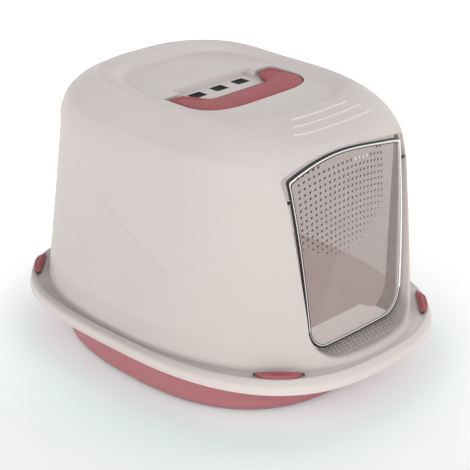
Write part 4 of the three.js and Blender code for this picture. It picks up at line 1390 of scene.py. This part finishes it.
def clear_plastic(name, tint, haze_colour, haze, rough):
    """Thin smoked plastic: light passes straight through it, with a little haze and a clear gloss."""
    n = new_material(name)
    scuffs = n.ramp(n.noise(60.0, 6.0, 0.7), 0.5, 0.8, 0.0, 0.06)
    wiped = n.ramp(n.noise(14.0, 4.0), 0.3, 0.7, rough, rough + 0.08)
    through = n.add("ShaderNodeBsdfTransparent", {"Color": tint})
    body = n.add("ShaderNodeBsdfPrincipled", {"Base Color": haze_colour, "Roughness": wiped})
    gloss = n.times(n.add("ShaderNodeFresnel", {"IOR": 1.3}).outputs[0], 0.25)
    share = n.math("ADD", n.math("ADD", haze, scuffs), gloss, clamp=True)
    return n.surface(n.blended(share, through, body))


def bead_glass(name):
    """Thick clear plastic that shows a little of what is behind it, with a faint white painted glow for its
    highlights.
    """
    n = new_material(name)
    return n.principled({
        "Base Color": (0.94, 0.94, 0.94, 1), "Roughness": n.ramp(n.noise(40.0, 4.0), 0.3, 0.7, 0.10, 0.18),
        "IOR": 1.49, "Transmission Weight": 0.15, "Emission Color": (1, 1, 1, 1), "Emission Strength": 0.22,
    })


def fleece(name):
    """Black fleece with fibres and lumps."""
    n = new_material(name)
    fibres = n.noise(900.0, 6.0, 0.7)
    colour = n.mix(n.ramp(fibres, 0.35, 0.7), (0.012, 0.012, 0.013, 1), (0.05, 0.05, 0.052, 1))
    height = n.math("ADD", fibres, n.noise(160.0, 3.0))
    bump = n.add("ShaderNodeBump", {"Height": height, "Strength": 0.8, "Distance": 0.0012})
    return n.principled(
        {"Base Color": colour, "Roughness": 0.95, "Sheen Weight": 0.2, "Normal": bump.outputs[0]}
    )


def dark_gloss(name, colour):
    """Glossy dark plastic, unevenly smooth."""
    n = new_material(name)
    return n.principled({"Base Color": colour, "Roughness": n.ramp(n.noise(80.0, 3.0), 0.3, 0.7, 0.18, 0.3)})


hood_plastic = moulded_plastic("hood_plastic", (219, 211, 207), (212, 204, 199), 0.40, ledge=True)
# The lining glows: painted light on the hood's inside
hood_lining = moulded_plastic("hood_lining", (214, 209, 208), (209, 203, 202), 0.45, glow=0.30)
# A glowing copy of the hood plastic: painted light on the doorway's sill and on the top of its tunnel
sill_painted_light = moulded_plastic("sill_painted_light", (216, 208, 206), (211, 203, 201), 0.45, glow=0.50)
# A darker copy of the hood plastic: painted shade for the doorway's jambs
hood_painted_shade = moulded_plastic("hood_painted_shade", (158, 143, 140), (153, 139, 136), 0.45)
# A paler copy of the hood plastic: painted highlight for the ribs' crests and the dots near the top of the
# flap
rib_painted_highlight = moulded_plastic("rib_painted_highlight", (252, 247, 244), (248, 243, 240), 0.35)
pink_plastic = moulded_plastic("pink_plastic", (178, 100, 106), (184, 112, 117), 0.42, gloss=0.05)
tray_plastic = moulded_plastic("tray_plastic", (192, 126, 132), (197, 136, 140), 0.40, gloss=0.35)
# The tray's lining glows: painted light on its inside
tray_lining = moulded_plastic("tray_lining", (188, 173, 171), (191, 177, 175), 0.45, glow=0.30)
flap_plastic = clear_plastic("flap_plastic", (0.95, 0.94, 0.935, 1), linear(205, 199, 196), 0.05, 0.28)
bead_plastic = bead_glass("bead_plastic")
# Near-black plastic for the flap's dots and pins, and painted shade on the border's outer side, the line
# along it and the clips' pin holes
dark_plastic_and_painted_shade = dark_gloss("dark_plastic_and_painted_shade", (0.014, 0.013, 0.013, 1))
pad_fleece = fleece("pad_fleece")


# ---- The pieces ----

HOOD_NODES = ("hood_skirt", "hood_wall", "hood_roof", "door_surround", "handle_pocket")
HOOD_PLASTICS = (hood_plastic, hood_lining, hood_painted_shade, rib_painted_highlight, sill_painted_light)

shell = hood_skin()
tread_bumps(shell)
build("hood_moulding", shell, HOOD_PLASTICS, "hood", HOOD_NODES)
build("tray_moulding", tray_skin(), [tray_plastic, tray_lining], "tray", ("tray",))
build("flap_clear_sheet", flap_sheet(), [flap_plastic], "door_flap", ("door_flap",))
build("flap_border", flap_bead(), [bead_plastic, dark_plastic_and_painted_shade], "door_flap")
build("flap_border_shade_line", flap_shade_line(), [dark_plastic_and_painted_shade], "door_flap")
build("clip_pin_socket_shades", clip_socket_shades(), [dark_plastic_and_painted_shade], "hood")
build("flap_dots", flap_dots(), [dark_plastic_and_painted_shade, rib_painted_highlight], "door_flap")
build("handle_moulding", handle_skin(), [pink_plastic], "carry_handle", ("carry_handle",))
for name, sides in CLIPS.items():
    build(name + "_moulding", clip_skin(sides), [pink_plastic], name, (name,))

pad = build("filter_fleece", pad_skin(), [pad_fleece], "filter_holder", ("filter_pad",))

holder = frame["nodes"]["filter_holder"]
holder.data.materials.clear()
holder.data.materials.append(hood_plastic)
bevel = holder.modifiers.new("edges", "BEVEL")
bevel.width = 0.35 * MM
bevel.segments = 2
bevel.limit_method = "ANGLE"


# ---- Floor, light and camera ----

FLOOR_HALF = 14.0
FLOOR_Z = -0.0004

# Painted light on the floor: its brightness to the camera rises from front left to rear right, and a less
# red painted tint near the object, against the tray's pink bounce light, fades outwards
FLOOR_WAY = (0.707, 0.707, 0)
FLOOR_REACH = (-0.2, 0.35)
FLOOR_SEEN = (1.38, 1.84)
TINT_REACH = (0.27, 0.38)
TINT_NEAR = (0.86, 0.965, 0.97, 1)
TINT_FAR = (1, 0.994, 0.994, 1)

# Soft lamps of the studio: elevation, azimuth from +X towards +Y, strength
LAMPS = (
    (8, 0, 2.0), (8, 45, 0.75), (8, 180, 2.68), (8, 225, 1.0), (8, 270, 1.80), (38, 280, 0.42),
    (42, 45, 1.0), (42, 90, 0.2),
)
LAMP_SPREAD = 6.0
LAMP_COLOUR = (1.0, 0.995, 0.99, 1)

CAMERA_AT = (-1.2643, -1.2612, 0.9564)
CAMERA_TARGET = (0, 0, 0.156)
CAMERA_LENS = 115.67
CAMERA_SHIFT = (0.0119, -0.0124)


def floor_material():
    n = new_material("paper_floor")
    colour = n.mix(n.noise(3.0, 2.0), (0.88, 0.88, 0.88, 1), (0.90, 0.90, 0.90, 1))
    # Painted light: the floor seen by the camera grows brighter along FLOOR_WAY, and its tint near the
    # object is painted less red
    painted_brightness = n.ramp(n.vector("DOT_PRODUCT", n.place(), FLOOR_WAY), *FLOOR_REACH, *FLOOR_SEEN)
    tint = n.mix(n.ramp(n.vector("LENGTH", n.place()), *TINT_REACH), TINT_NEAR, TINT_FAR)
    bright = n.vector("MULTIPLY", n.vector("MULTIPLY", colour, painted_brightness), tint)
    bounced, seen = (
        n.add("ShaderNodeBsdfDiffuse", {"Color": paper, "Roughness": 0.8}) for paper in (colour, bright)
    )
    return n.surface(n.blended(n.sees_white(), bounced, seen))


def floor():
    mesh = bpy.data.meshes.new("floor")
    corners = [(x * FLOOR_HALF, y * FLOOR_HALF, 0) for x, y in ((-1, -1), (1, -1), (1, 1), (-1, 1))]
    mesh.from_pydata(corners, [], [(0, 1, 2, 3)])
    thing = bpy.data.objects.new("floor", mesh)
    mesh.materials.append(floor_material())
    bpy.context.scene.collection.objects.link(thing)
    thing.location.z = FLOOR_Z


def world():
    """Soft lamps as lobes of light in the sky, which the rays that see white find plain white."""
    n = Nodes(bpy.data.worlds.new("studio"))
    spot = n.place("Generated")
    total = 0.0
    for elevation, azimuth, strength in LAMPS:
        up, turn = math.radians(elevation), math.radians(azimuth)
        way = (math.cos(up) * math.cos(turn), math.cos(up) * math.sin(turn), math.sin(up))
        facing = n.math("MAXIMUM", n.vector("DOT_PRODUCT", spot, way), 0.0)
        lobe = n.times(n.math("POWER", facing, LAMP_SPREAD), strength)
        total = n.math("ADD", total, lobe)
    lamps = n.add("ShaderNodeBackground", {"Color": LAMP_COLOUR, "Strength": total})
    white = n.add("ShaderNodeBackground", {"Color": (1, 1, 1, 1), "Strength": 1.0})
    mix = n.blended(n.sees_white(), lamps, white)
    bpy.context.scene.world = n.surface(mix, "ShaderNodeOutputWorld")


def camera():
    data = bpy.data.cameras.new("camera")
    data.sensor_width = 36.0
    data.lens = CAMERA_LENS
    data.shift_x, data.shift_y = CAMERA_SHIFT
    data.clip_end = 100.0
    thing = bpy.data.objects.new("camera", data)
    thing.location = CAMERA_AT
    thing.rotation_euler = (Vector(CAMERA_TARGET) - thing.location).to_track_quat("-Z", "Y").to_euler()
    bpy.context.scene.collection.objects.link(thing)
    bpy.context.scene.camera = thing


floor()
world()
camera()
scene = bpy.context.scene
scene.view_settings.view_transform = "Standard"
